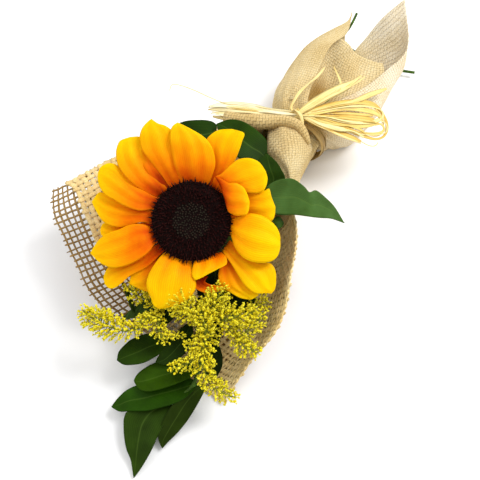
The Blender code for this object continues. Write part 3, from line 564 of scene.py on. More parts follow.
# Each strip: its colour, where its far end is, and points of (x, y, z, width)
STRIPS = {
    "left_broad": ("#FBF5D2", "bare", [
        (35, 67.4, 56.5, 4), (22.1, 63, 55.3, 5.8), (5.1, 58.3, 54.7, 6.7), (-11.7, 54.4, 53.6, 7),
        (-25.6, 51.1, 51.3, 6.1), (-35.4, 47.2, 47.7, 2.6)]),
    "left_second": ("#F0E2AE", "bare", [
        (35, 67.4, 55.9, 3.4), (21.8, 62, 54.7, 4.7), (6.2, 56, 54.1, 5.3), (-7.7, 51.6, 53.1, 5),
        (-20.7, 48.3, 51.2, 4.3), (-32.9, 45.7, 47.7, 1.9)]),
    "left_third": ("#F9F0C6", "bare", [
        (35.2, 67, 55.3, 3.6), (20.7, 60.8, 54.1, 4.5), (7, 54.3, 53.5, 5.1), (-7, 48.4, 52.5, 5.4),
        (-20, 43.7, 50.4, 4.5), (-31, 42.7, 47.2, 1.5)]),
    "left_low": ("#E9D79A", "bare", [
        (35.4, 67, 54.3, 2.7), (19.7, 59.7, 53.1, 3.3), (6.2, 52.8, 52.4, 3.9), (-7.4, 45.9, 51.4, 4.2),
        (-18.9, 41.5, 49.4, 3.3), (-28.4, 41.1, 46.8, 1.5)]),
    "left_curl": ("#F2E4A8", "bare", [
        (34.8, 67.7, 57.1, 1), (10.5, 61, 55.7, 1), (-8.7, 56.9, 54.4, 0.9), (-21.3, 52.9, 52.6, 0.9),
        (-36.5, 55.1, 49, 0.9), (-54.2, 59.3, 44.8, 0.8), (-67.6, 61.5, 41.5, 0.8), (-76.3, 61.1, 39.2, 0.8),
        (-75.4, 54.7, 38.8, 0.6)]),
    "back_broad": ("#F3DF96", "bare", [
        (31.7, 63.5, 57.1, 3.4), (33.3, 67.1, 58.1, 4.8), (37.8, 77.4, 57.7, 6.9), (43.7, 94.3, 54.5, 8.5),
        (50.1, 109.4, 50.8, 7.6), (54.4, 122, 48, 5.3), (57.1, 133.4, 45.2, 1.1)]),
    "back_right": ("#EDD588", "bare", [
        (32, 64.9, 56.9, 2.1), (43.1, 77, 55.9, 2.6), (55.1, 93, 51.4, 3.1), (64, 105, 47.7, 4.2),
        (70.9, 119.5, 43.7, 5.2), (75.8, 129.3, 40.6, 3.9), (79.3, 135.9, 38.7, 1.3)]),
    "outer_loop": ("#E3BE60", "object", [
        (30.8, 66, 55.1, 4.1), (39.5, 72.2, 55.8, 4.9), (46.1, 81.1, 54.2, 5.4), (53.2, 91.5, 51.3, 5.7),
        (60.7, 101.1, 48.2, 5.1), (68.5, 108.1, 45.5, 4.6), (76.2, 112.3, 42.6, 3.8),
        (82.5, 110.9, 40.8, 2.7), (87.6, 107.4, 39.6, 2.4), (92, 102.7, 38.6, 2.4), (94.8, 96, 38.2, 2.4),
        (94.4, 88, 38.9, 2.4), (89.4, 81.5, 41.2, 2.7), (79, 77.2, 45.5, 3.2), (64.9, 74.1, 49.9, 3.5),
        (49.8, 69.9, 54.4, 3.5), (36.7, 65.5, 56, 3.2)]),
    "gold_fan": ("#EED57F", "object", [
        (30.9, 65.7, 55.5, 4.1), (40.9, 70.8, 56.2, 4.9), (51.4, 81.5, 53.6, 5.9), (63.4, 93.8, 48.9, 6.5),
        (74.2, 101.5, 45.3, 6.2), (82.2, 104.5, 42.2, 3.5), (86.8, 103.2, 40.7, 2.2), (85.1, 97.1, 42, 2.4),
        (78.3, 91.2, 45.1, 3.2), (66.1, 83.3, 49.3, 3.5), (50.8, 73, 54.4, 3.2), (36.5, 65.9, 56.4, 3)]),
    "middle_fan": ("#E3BE60", "bare", [
        (31.2, 65.1, 55.1, 3.4), (41.4, 69.9, 55.8, 4.2), (53, 77.9, 53.2, 5), (66.2, 87.2, 48.5, 5.6),
        (77.1, 94.4, 44.8, 5), (82.6, 98.4, 42.4, 2)]),
    "pale_fan": ("#F8E9A4", "object", [
        (31.4, 64.5, 55.8, 3), (41.9, 68.6, 56.5, 3.5), (52.5, 74.9, 54.2, 4.1), (63.7, 80.6, 50.5, 4.1),
        (74.7, 87.1, 46.9, 3.8), (83, 94.8, 43.3, 2.7), (87.2, 103, 40.9, 1.9), (86.2, 109.2, 40.5, 1.6),
        (81.7, 110.5, 41.8, 1.6), (72.6, 105.3, 45.5, 2.2), (60, 93.7, 50.1, 2.4), (46.3, 77.6, 55.2, 2.4),
        (35.9, 67.1, 56.8, 2.4)]),
    "ring_loop": ("#EBD07A", "object", [
        (31.3, 64.8, 55, 2.7), (42.2, 68, 55.7, 3.5), (53.8, 72.3, 53.3, 4.1), (65.3, 77.1, 49.5, 4.3),
        (76.1, 84.1, 45.9, 3.5), (82.8, 91.3, 43, 2.4), (86.3, 97, 41.1, 2), (90.7, 98, 39.4, 2),
        (92.7, 94, 39, 2), (88.9, 87.2, 41, 2.2), (81.1, 80.4, 44.4, 2.4), (67.8, 73.3, 48.9, 2.7),
        (50.7, 67.8, 54.1, 2.7), (36.7, 65.4, 55.9, 2.7)]),
    "low_pale": ("#F5E5A2", "bare", [
        (31.5, 64.2, 55.5, 3.4), (39.9, 65.6, 56.3, 4.2), (51.3, 66.4, 54.5, 4.9), (62.2, 70.4, 51.3, 5.5),
        (71.1, 75.4, 48.3, 5.7), (77.8, 77.1, 46.3, 5.5), (82.7, 76.6, 44.5, 1.8)]),
    "low_gold": ("#E2BC5C", "bare", [
        (31.3, 64.9, 54.3, 3.2), (38.6, 65.2, 55.1, 3.8), (48.7, 64.9, 53.8, 4.3), (58, 66.6, 51.4, 5.1),
        (67.3, 68.9, 48.4, 5.4), (75.7, 71.2, 45.8, 4.6), (81.9, 72.8, 43.7, 1.6)]),
    "low_thin": ("#EED57F", "bare", [
        (31.3, 65, 53.9, 1), (46.5, 64.3, 53.9, 1), (62.2, 67, 49.6, 1), (75, 71, 45.6, 0.9),
        (81.9, 73, 43.3, 0.8), (86, 73.6, 41.6, 0.8), (89.8, 75, 40, 0.8), (92.5, 78, 38.8, 0.8),
        (93.1, 81.8, 38.5, 0.6)]),
    "ear_straw": ("#F0DC98", "bare", [
        (35.9, 65.6, 56, 1.9), (25.2, 67.8, 56, 2.2), (23.8, 77.2, 57, 2.4), (24.1, 85.7, 57, 3.1),
        (26, 95.9, 56, 3.1), (28.7, 105.3, 55.5, 2.6), (30, 114.7, 55, 1.7), (30.2, 119.1, 55, 1)]),
    "hollow_straw": ("#E9D18A", "bare", [
        (32.6, 67.2, 56, 1.9), (41.6, 80.6, 56, 2.2), (46.6, 96.3, 54, 2.2), (48.2, 110.5, 51, 2.4),
        (42.9, 119.4, 50, 2.6), (38.1, 124.6, 50, 1.9), (35.2, 128.1, 50, 0.7)]),
    "wrap_down": ("#F3DF9A", "bare", [
        (21.5, 66, 50, 1.2), (25, 66.5, 54.5, 1.8), (29, 66.5, 58, 2.5), (34, 64, 58.6, 2.7),
        (37.5, 60.5, 56, 2.4), (39.5, 57.5, 51.5, 1.8), (40, 56, 47, 1)]),
}
# Narrow strips split off the named ones: (from which, how far sideways, how much lower, share of its width)
SPLIT_STRIPS = [
    ("left_broad", 2.2, 0.8, 0.4), ("left_third", -2.0, 0.4, 0.45), ("left_second", -2.6, -1.0, 0.35),
    ("gold_fan", 2.6, 1.1, 0.4), ("middle_fan", 3.0, -0.7, 0.5), ("middle_fan", -3.4, -1.2, 0.4),
    ("low_pale", 3.2, -0.9, 0.4), ("low_gold", -3.0, -1.4, 0.4), ("outer_loop", -3.0, -1.0, 0.45),
    ("ring_loop", 2.6, -1.0, 0.5), ("back_broad", -3.6, -1.2, 0.3), ("pale_fan", 2.4, 1.0, 0.5),
]
SPLIT_TINTS = ("#F6E7A8", "#E9CB72", "#F2DC94")
SPLIT_LEAST_WIDTH = 0.7
# A strip's section: how far out and how high, and its tip is at least this share of its full width
STRIP_OUT = np.array((-1.0, -0.55, 0.0, 0.55, 1.0, 0.55, 0.0, -0.55))
STRIP_LIFT = np.array((0.05, 0.25, 0.16, 0.25, 0.05, -0.2, -0.28, -0.2))
STRIP_LEAST_SHARE = 0.36
STRIP_STEP = 1.8
KNOT_CORE_RADIUS = 4.4
KNOT_TINTS = ("#F3DF9A", "#EAD07A", "#F7E9AE", "#E2C468", "#F0DA90")
# Darker than the bow's strips: painted shade on the binding down in the crease at the neck
BINDING_SHADE_TINTS = ("#C2A566", "#B5985C", "#CBAF70", "#BA9C5E", "#C6AA6A", "#B2955A")


def strip_shape(name, points, tint, turn, side=None):
    """A flat strip along points of (x, y, z, width), thinner at its edges and creased along its middle."""
    path = smooth(points, 10)
    length = np.linalg.norm(np.diff(path[:, :3], axis=0), axis=1).sum()
    path = evenly(path, max(26, int(length / STRIP_STEP)))
    path[:, 3] = np.maximum(path[:, 3], STRIP_LEAST_SHARE * path[:, 3].max())
    centres = on_table(path[:, :3])
    along, across, up = ring_frames(centres)
    if side is not None:
        across = np.broadcast_to(np.asarray(side, float), along.shape)
        up = np.cross(along, across)
    t = np.linspace(0, 1, len(path))[:, None]
    angle = 0.35 * np.sin(5.0 * t + turn) + 0.25 * np.sin(13.0 * t + 2 * turn)
    across, up = across * np.cos(angle) + up * np.sin(angle), up * np.cos(angle) - across * np.sin(angle)
    half = 0.5 * path[:, 3][:, None, None] * MM
    out, lift = across[:, None] * STRIP_OUT[:, None], up[:, None] * STRIP_LIFT[:, None]
    rings = centres[:, None] + out * half + lift * MM
    colours = np.broadcast_to(colour(tint), (*rings.shape[:2], 3)).copy()
    strip = net(name, rings, closed=True, tint=colours)
    return strip, centres


def raffia_bow(looks):
    draw = random.Random(SEED)
    strips = {name: [tint, far_end, points] for name, (tint, far_end, points) in STRIPS.items()}
    for number, (source, sideways, lower, share) in enumerate(SPLIT_STRIPS):
        _, far_end, points = STRIPS[source]
        path = np.array(points, float)
        along, across, _ = ring_frames(path[:, :3])
        apart = np.sin(np.linspace(0, 1, len(path)) * math.pi * (0.55 if far_end == "bare" else 1.0))
        path[:, :3] += across * (sideways * apart)[:, None]
        path[:, 2] -= lower * apart
        path[:, 3] = np.maximum(path[:, 3] * share, SPLIT_LEAST_WIDTH)
        strips[f"{source}_split_{number}"] = [draw.choice(SPLIT_TINTS), far_end, path.tolist()]
    for name, (tint, far_end, points) in strips.items():
        piece, centres = strip_shape(name, points, tint, draw.uniform(0, 6))
        finished(piece, "raffia_" + name, looks, "raffia", "raffia_bow")


def raffia_knot(looks):
    """The strips turned round the bow's middle, over a core of the strips inside it."""
    bpy.ops.object.select_all(action="DESELECT")
    bpy.ops.mesh.primitive_uv_sphere_add(segments=16, ring_count=10, radius=KNOT_CORE_RADIUS * MM,
                                         location=on_table(KNOT))
    bpy.ops.object.mode_set(mode="EDIT")
    bpy.ops.transform.resize(value=(1.35, 1.1, 0.75), center_override=on_table(KNOT))
    bpy.ops.transform.rotate(value=math.radians(-25), orient_axis="Z", center_override=on_table(KNOT))
    bpy.ops.object.mode_set(mode="OBJECT")
    bpy.ops.object.transform_apply(location=True, rotation=True, scale=True)
    core = bpy.context.object
    bpy.ops.object.shade_smooth()
    store(core.data, "tint", np.tile(colour("#E3CB7E"), (len(core.data.vertices), 1)))
    pieces = [core]
    axis = unit(np.array((0.9, 0.42, 0.0)))
    level = np.array((-axis[1], axis[0], 0.0))
    for n, tint in enumerate(KNOT_TINTS):
        points = []
        for k in range(15):
            angle = 2 * math.pi * k / 13.0 + 1.1 * n
            spot = np.array(KNOT) + axis * (1.9 * (n - 2) + 0.9 * k / 13.0 - 0.4)
            spot += level * (5.4 - 0.5 * abs(n - 2)) * math.cos(angle)
            spot += np.array((0, 0, 1)) * (4.0 - 0.35 * abs(n - 2)) * math.sin(angle)
            points.append((*spot, 2.6 + 0.5 * (n % 2)))
        strip, _ = strip_shape(f"knot_turn_{n}", points, tint, 0.0, side=axis)
        pieces.append(strip)
    finished(joined("raffia_knot", pieces), "raffia_knot", looks, "raffia", "raffia_bow")


def raffia_binding(looks):
    """Raffia wound round the gathered neck, strip beside strip and here and there across another."""
    pieces = []
    for n, tint in enumerate(BINDING_SHADE_TINTS):
        points = []
        for k in range(41):
            angle = 2 * math.pi * (k / 39.0 + 0.13 * n) + 1.2
            out = 1.7 + 0.55 * (n % 2) + 0.25 * math.sin(3 * angle + n)
            y = NECK_FRONT + 1.6 + 1.4 * n + 0.7 * math.sin(angle + 1.9 * n)
            points.append((NECK_CENTRE[0] + (NECK_SEMI_AXES[0] + out) * math.cos(angle), y,
                           NECK_CENTRE[1] + (NECK_SEMI_AXES[1] + out) * math.sin(angle), 2.5))
        strip, _ = strip_shape(f"binding_turn_{n}", points, tint, 0.0, side=(0, 1, 0))
        pieces.append(strip)
    turns = joined("raffia_binding_turns", pieces)
    finished(turns, "raffia_binding_turns", looks, "raffia", "raffia_binding")


# Burlap: one woven sheet, given by rows of points across it, from its cut edge at the mouth to the tails

SHEET_ROWS = [
    [(-101, -71, 45), (-89, -88, 44), (-72, -101, 41), (-56, -112, 35), (-39, -123, 28), (-20, -129, 20),
     (-2, -127, 4), (19, -132, -1), (40, -137, -2), (59, -141, -2), (77, -143, 3)],
    [(-88, -53, 48), (-74, -68, 46), (-58, -81, 40), (-42, -92, 33), (-26, -100, 25), (-10, -101, 8),
     (10, -104, -2), (33, -110, -2), (54, -112, -3), (72, -115, 4), (83, -116, 22)],
    [(-74, -31, 50), (-60, -44, 47), (-45, -56, 41), (-30, -66, 33), (-15, -73, 24), (-1, -74, 6),
     (16, -78, -2), (38, -83, -3), (58, -85, -3), (78, -87, 16), (91, -90, 42)],
    [(-53, -4, 50), (-42, -18, 48), (-29, -29, 42), (-16, -38, 34), (-4, -45, 25), (7, -46, 6),
     (21, -50, -2), (39, -55, -3), (57, -56, 0), (74, -57, 22), (84, -58, 52)],
    [(-26, 24, 50), (-20, 12, 49), (-12, 2, 43), (-3, -6, 34), (6, -12, 24), (13, -12, 6),
     (26, -16, -2), (41, -21, -2), (55, -22, 5), (66, -23, 28), (71, -24, 55)],
    [(-4, 42, 49), (-8, 36, 47), (-8, 27, 42), (-3, 19, 34), (3, 16, 21), (11, 14, 7),
     (24, 12, -1), (41, 10, -1), (50, 14, 13), (51, 20, 40), (32, 23, 48)],
    [(31, 56, 51), (16, 55, 51), (7, 53, 44), (4, 51, 33), (7, 49, 20), (17, 48, 9),
     (30, 48, 3), (45, 49, 6), (49, 50, 18), (48, 50, 36), (29, 46, 43)],
]
TAIL_ROWS = [
    [(29, 92, 47), (14, 94, 45), (3, 95, 37), (-1, 94, 26), (4, 95, 11), (18, 92, 0),
     (36, 89, -1), (54, 88, -2), (67, 89, 10), (64, 93, 32), (45, 95, 43)],
    [(25, 121, 47), (10, 122, 44), (-1, 122, 35), (-2, 119, 24), (6, 118, 9), (21, 114, 0),
     (38, 111, -1), (56, 110, -2), (73, 112, 8), (77, 119, 27), (60, 122, 40)],
    [(24, 149, 49), (11, 150, 47), (3, 148, 39), (4, 144, 28), (12, 140, 16), (25, 140, 6),
     (40, 141, 0), (57, 144, 0), (74, 148, 9), (81, 154, 24), (72, 155, 38)],
    [(29, 172, 46), (22, 171, 50), (16, 167, 47), (15, 162, 39), (19, 158, 28), (27, 160, 15),
     (38, 165, 8), (53, 171, 10), (68, 178, 17), (79, 184, 27), (78, 185, 40)],
    [(25, 190, 52), (25, 186, 49), (25, 181, 45), (26, 176, 39), (28, 173, 30), (31, 173, 20),
     (34, 186, 14), (38, 198, 19), (43, 208, 29), (50, 215, 41), (59, 225, 52)],
]
NECK_START_ANGLE = 72.0
NECK_END_ANGLE = 444.0
NECK_TUCK = 2.4
PLEATS = 6
PLEAT_DEPTH = 5.0
PLEAT_LENGTH = 22.0
FINE = 8
# The sheet's left side is folded over onto itself: the flap's cut front edge, its width and its lift
FLAP_EDGE_ROW = 0.85
FLAP_COLUMNS = 3.2
FLAP_LIFT = 1.9
# The cloth that shows between the yarns lies this far off the sheet's middle, on its outer side; in the mouth
# it is a darker sheet of painted shade
BEHIND_YARNS = -1.0
# Yarn by yarn up to this row, and closed cloth from there
YARN_ROWS = 4.4
CLOTH_YARN_PITCH = 2.2
CLOTH_STEP = 2.2
CLOTH_THICKNESS = 0.8
# The sheet's right edge comes over the tie as a collar
COLLAR_ROWS = [
    [(11, 57, 42), (18, 57, 48), (24, 59, 51), (30, 61, 51), (35, 63, 48), (37, 67, 40), (35, 73, 30)],
    [(15, 49, 45), (23, 48, 51), (29, 50, 54), (35, 53, 54), (39, 58, 49), (41, 64, 39), (39, 72, 28)],
    [(20, 38, 46), (27, 38, 52), (34, 40, 55), (41, 44, 54), (45, 50, 49), (46, 59, 37), (43, 66, 26)],
    [(24, 29, 47), (32, 29, 53), (39, 31, 56), (46, 36, 55), (49, 43, 49), (50, 53, 37), (47, 61, 26)],
    [(31, 24, 48), (38, 23, 53), (43, 24, 56), (48, 29, 54), (51, 36, 48), (51, 45, 38), (48, 53, 27)],
    [(39, 18, 49), (44, 18, 53), (47, 18, 55), (50, 22, 53), (52, 27, 48), (51, 35, 40), (48, 42, 30)],
    [(45, 11, 49), (49, 11, 52), (51, 11, 53), (53, 14, 51), (53, 18, 47), (53, 23, 41), (51, 30, 32)],
    [(52, 2, 49), (55, 2, 51), (57, 2, 52), (58, 5, 50), (59, 9, 47), (58, 13, 42), (56, 19, 34)],
]
# The left fold is rolled in along the tie: points of (x, y, z, radius)
ROLL = [(-19, 44, 47, 5), (-7, 45, 49.5, 5.6), (4, 47, 51, 6.4), (12, 50, 52.5, 6), (21, 54, 54, 5),
        (29, 56, 55, 4.4), (36, 56, 55, 3.8), (43, 53, 52, 3.2), (47, 51, 46, 2.4)]
# The layer tucked in between the two tails
TUCKED_ROWS = [
    [(16, 86, 43), (24, 87, 41), (33, 88, 40), (43, 88, 39), (53, 88, 36), (62, 87, 30)],
    [(12, 104, 42), (22, 105, 36), (32, 106, 27), (43, 106, 27), (55, 106, 29), (68, 104, 26)],
    [(10, 122, 40), (20, 123, 33), (31, 124, 22), (43, 124, 23), (56, 124, 26), (72, 122, 24)],
    [(10, 138, 41), (19, 139, 36), (29, 140, 27), (40, 141, 24), (54, 142, 24), (72, 143, 22)],
    [(14, 152, 43), (21, 152, 41), (29, 153, 37), (38, 155, 30), (50, 158, 25), (70, 161, 24)],
    [(19, 163, 45), (25, 164, 46), (31, 165, 43), (39, 167, 34), (49, 170, 27), (64, 174, 25)],
]


def neck_row(y):
    """The gathered sheet inside the tie: an oval from its left edge round to its tucked right edge."""
    j = np.arange(11)
    angle = np.radians(NECK_START_ANGLE + (NECK_END_ANGLE - NECK_START_ANGLE) * j / 10)
    tuck = NECK_TUCK * (j / 10) ** 5
    return np.stack((NECK_CENTRE[0] + (NECK_SEMI_AXES[0] - tuck) * np.cos(angle), np.full(11, y),
                     NECK_CENTRE[1] + (NECK_SEMI_AXES[1] - tuck) * np.sin(angle)), axis=1)


def sheet_normals(grid):
    """Square to the sheet, on the side where the flowers lie."""
    return unit(np.cross(np.gradient(grid, axis=1), np.gradient(grid, axis=0)))


def sheet_grid():
    """The sheet's middle surface as a fine grid of points: pleated at the neck and softly creased."""
    neck_middle = 0.5 * (NECK_FRONT + NECK_BACK)
    rows = np.array([*SHEET_ROWS, *[neck_row(y) for y in (NECK_FRONT, neck_middle, NECK_BACK)], *TAIL_ROWS])
    grid = smooth(rows, FINE)
    grid = smooth(grid.transpose(1, 0, 2), FINE).transpose(1, 0, 2)
    across = np.linspace(0, 1, grid.shape[1])[None, :]
    y = grid[:, :, 1]
    # The right end lies smooth over the neck, and the pleats are in the rest
    loose = 1 - 0.75 * np.clip((across - 0.78) / 0.12, 0, 1) * np.clip((62 - y) / 8, 0, 1)
    pinch = np.exp(-((y - neck_middle) / PLEAT_LENGTH) ** 4) * loose
    fold = 0.5 - 0.5 * np.cos(2 * np.pi * PLEATS * across)
    inward = np.stack((NECK_CENTRE[0] - grid[:, :, 0], 0 * y, NECK_CENTRE[1] - grid[:, :, 2]), axis=2)
    grid = grid + unit(inward) * (PLEAT_DEPTH * pinch * fold)[:, :, None]
    # Creases that run out from the neck, and slack between them
    reach = np.abs(y - neck_middle)
    crease = 0.9 * np.exp(-reach / 38) * np.sin(2 * np.pi * (17 * across + 0.35 * np.sin(y / 13))) * loose
    slack = 0.9 * np.sin(y / 17 + 9 * across) * np.sin(y / 29 - 14 * across)
    grid = grid + sheet_normals(grid) * (crease + slack * np.clip(reach / 60, 0, 1))[:, :, None]
    grid[:, :, 2] = np.maximum(grid[:, :, 2], 1.2)
    return grid


def sampled(grid, rows, columns):
    """The grid's values between its points."""
    rows = np.clip(rows, 0, grid.shape[0] - 1.001)
    columns = np.clip(columns, 0, grid.shape[1] - 1.001)
    i, j = rows.astype(int), columns.astype(int)
    a, b = (rows - i)[..., None], (columns - j)[..., None]
    return ((1 - a) * (1 - b) * grid[i, j] + (1 - a) * b * grid[i, j + 1]
            + a * (1 - b) * grid[i + 1, j] + a * b * grid[i + 1, j + 1])


def spaced(grid, axis, ends, pitch, rim=False):
    """Grid places one pitch apart along one axis, by the mean length of the grid's lines, and their mm."""
    mean = np.linalg.norm(np.diff(grid, axis=axis), axis=2).mean(axis=1 - axis)
    reach = np.concatenate(([0.0], np.cumsum(mean)))
    start, end = np.interp(ends, np.arange(len(reach)), reach)
    count = max(3, round((end - start) / pitch))
    share = np.arange(count + 1) / count if rim else (np.arange(count) + 0.5) / count
    wanted = start + share * (end - start)
    return np.interp(wanted, reach, np.arange(len(reach))), wanted


def weave(places, normals, tints, cover, draw):
    """Threads along both ways of a grid of crossings, each passing over and under the next in turn.

    Cover is the share of the pitch that a thread fills: 1 where the weave is closed.
    """
    count, across = places.shape[:2]
    sign = np.where((np.add.outer(np.arange(count), np.arange(across)) % 2) == 0, 1.0, -1.0)
    turn = np.linspace(0, 2 * np.pi, THREAD_SIDES, endpoint=False)
    spots, colours, faces, start = [], [], [], 0
    for lengthwise in (True, False):
        pitch = np.linalg.norm(np.gradient(places, axis=1 if lengthwise else 0), axis=2)
        for k in range(across if lengthwise else count):
            pick_line = (slice(None), k) if lengthwise else (k, slice(None))
            line, up, tint = places[pick_line], normals[pick_line], tints[pick_line]
            over = sign[pick_line] if lengthwise else -sign[pick_line]
            half = 0.5 * np.clip(pitch[pick_line] * cover[pick_line], 0.9, 4.2)
            along = unit(np.gradient(line, axis=0))
            side = unit(np.cross(along, up))
            n = np.arange(len(line))
            wander = 0.3 * np.sin(0.37 * n + draw.uniform(0, 6)) + 0.16 * np.sin(1.1 * n + draw.uniform(0, 6))
            line = line + side * wander[:, None] + up * (over * THREAD_SWING)[:, None]
            line = np.concatenate((line[:1] - along[:1] * draw.uniform(1.0, 3.0), line,
                                   line[-1:] + along[-1:] * draw.uniform(1.0, 3.0)))
            up, side, tint, half, over = [np.concatenate((v[:1], v, v[-1:]))
                                          for v in (up, side, tint, half, over)]
            n = np.arange(len(line))
            half = half * (1 + 0.1 * np.sin(0.5 * n + draw.uniform(0, 6)) + draw.uniform(-0.1, 0.1)
                           + 0.07 * over)
            half[[0, -1]] *= 0.6
            rings = line[:, None] + side[:, None] * (np.cos(turn)[:, None] * half[:, None, None])
            thick = 0.5 * THREAD_THICKNESS * np.clip(half / 0.8, 0.75, 1.0)
            rings = rings + up[:, None] * (np.sin(turn)[:, None] * thick[:, None, None])
            spots.append(rings.reshape(-1, 3))
            # Each yarn's tone varies at random; 0.1 * over makes it lighter where it passes over, as painted
            # light, and darker where it passes under, as painted shade
            light = draw.uniform(0.86, 1.0) + 0.05 * np.sin(0.8 * n + draw.uniform(0, 6)) + 0.1 * over
            colours.append(np.repeat(tint * light[:, None], THREAD_SIDES, axis=0))
            rows = start + THREAD_SIDES * np.arange(len(line) - 1)[:, None]
            around = np.arange(THREAD_SIDES)
            after = (around + 1) % THREAD_SIDES
            quads = np.stack((rows + around, rows + after, rows + THREAD_SIDES + after,
                              rows + THREAD_SIDES + around), axis=2)
            faces += quads.reshape(-1, 4).tolist()
            last = start + THREAD_SIDES * (len(line) - 1)
            faces += [(start + around[::-1]).tolist(), (last + around).tolist()]
            start += THREAD_SIDES * len(line)
    return np.concatenate(spots), np.concatenate(colours), faces


def ease(value, low, high):
    """0 below low, 1 above high, smooth between."""
    t = np.clip((value - low) / (high - low), 0, 1)
    return t * t * (3 - 2 * t)


def cloth_tint(i, j):
    """Painted shade behind the yarns, lighter at the neck, and paler towards the tails, most of all the right
    one, where the pale is partly painted light.
    """
    shaded, jute, straw, pale = map(colour, ("#86693A", "#DCC690", "#E6D3A4", "#F8EED8"))
    neck = ease(i, 4.0, 4.6)[:, :, None]
    far = ease(i, 8.5, 10.5)[:, :, None]
    right = ease(j, 5.5, 8.5)[:, :, None] * far
    tint = (shaded * (1 - neck) + jute * neck) * (1 - far) + straw * far
    return tint * (1 - right) + pale * right


def hollow_tint(i, j):
    """The tucked layer between the tails: darker in the hollow behind the bow as painted shade, pale on its
    right.
    """
    hollow_shade, pale = colour("#B08E4E"), colour("#EBDAAE")
    share = ease(np.hypot((i - 1.4) / 1.3, (j - 1.9) / 1.3), 0.3, 1.2)[:, :, None]
    return hollow_shade * (1 - share) + pale * share


def cloth(name, grid, rows, columns, tint, lift=0.0):
    """Closed weave: part of a fine grid as thin cloth, each point knowing its place in the weave in mm."""
    i, along = spaced(grid, 0, rows, CLOTH_STEP, rim=True)
    j, across = spaced(grid[:5 * FINE], 1, columns, CLOTH_STEP, rim=True)
    i, j = np.meshgrid(i, j, indexing="ij")
    along, across = np.meshgrid(along, across, indexing="ij")
    points = sampled(grid, i, j)
    points = points + unit(sampled(sheet_normals(grid), i, j)) * lift
    points[:, :, 2] = np.maximum(points[:, :, 2], 0.5)
    plain = isinstance(tint, str)
    tints = np.broadcast_to(colour(tint), points.shape) if plain else tint(i / FINE, j / FINE)
    piece = net(name, on_table(points), tint=tints,
                weave_place=np.stack((across, along, np.ones(i.shape)), axis=2))
    solid = piece.modifiers.new("thickness", "SOLIDIFY")
    solid.thickness = CLOTH_THICKNESS * MM
    solid.offset = 0.0
    apply_modifiers(piece)
    return piece


def fine_grid(rows, crumple=0.0):
    """A patch's rows as a fine grid, crumpled by so many mm."""
    grid = smooth(smooth(np.array(rows, float), FINE).transpose(1, 0, 2), FINE).transpose(1, 0, 2)
    i, j = np.meshgrid(np.arange(grid.shape[0]), np.arange(grid.shape[1]), indexing="ij")
    folds = np.sin(0.30 * j + 0.11 * i + 0.6) * np.sin(0.13 * i + 1.0) + 0.5 * np.sin(0.5 * j - 0.2 * i)
    return grid + sheet_normals(grid) * (crumple * folds)[:, :, None]


def rolled_edge():
    """The fold of the sheet along the tie, rolled in as a loose spiral."""
    path = evenly(smooth(ROLL, 8), 50)
    _, side, up = ring_frames(path[:, :3])
    turn = np.linspace(-0.4, 2.3 * math.pi, 50)[None, :, None]
    radius = path[:, None, 3:] * np.linspace(1.0, 0.6, 50)[None, :, None]
    wrinkle = 1 + 0.07 * np.sin(2.1 * turn + 0.35 * np.arange(50)[:, None, None])
    out = side[:, None] * np.cos(turn) + up[:, None] * np.sin(turn)
    return path[:, None, :3] + out * radius * wrinkle


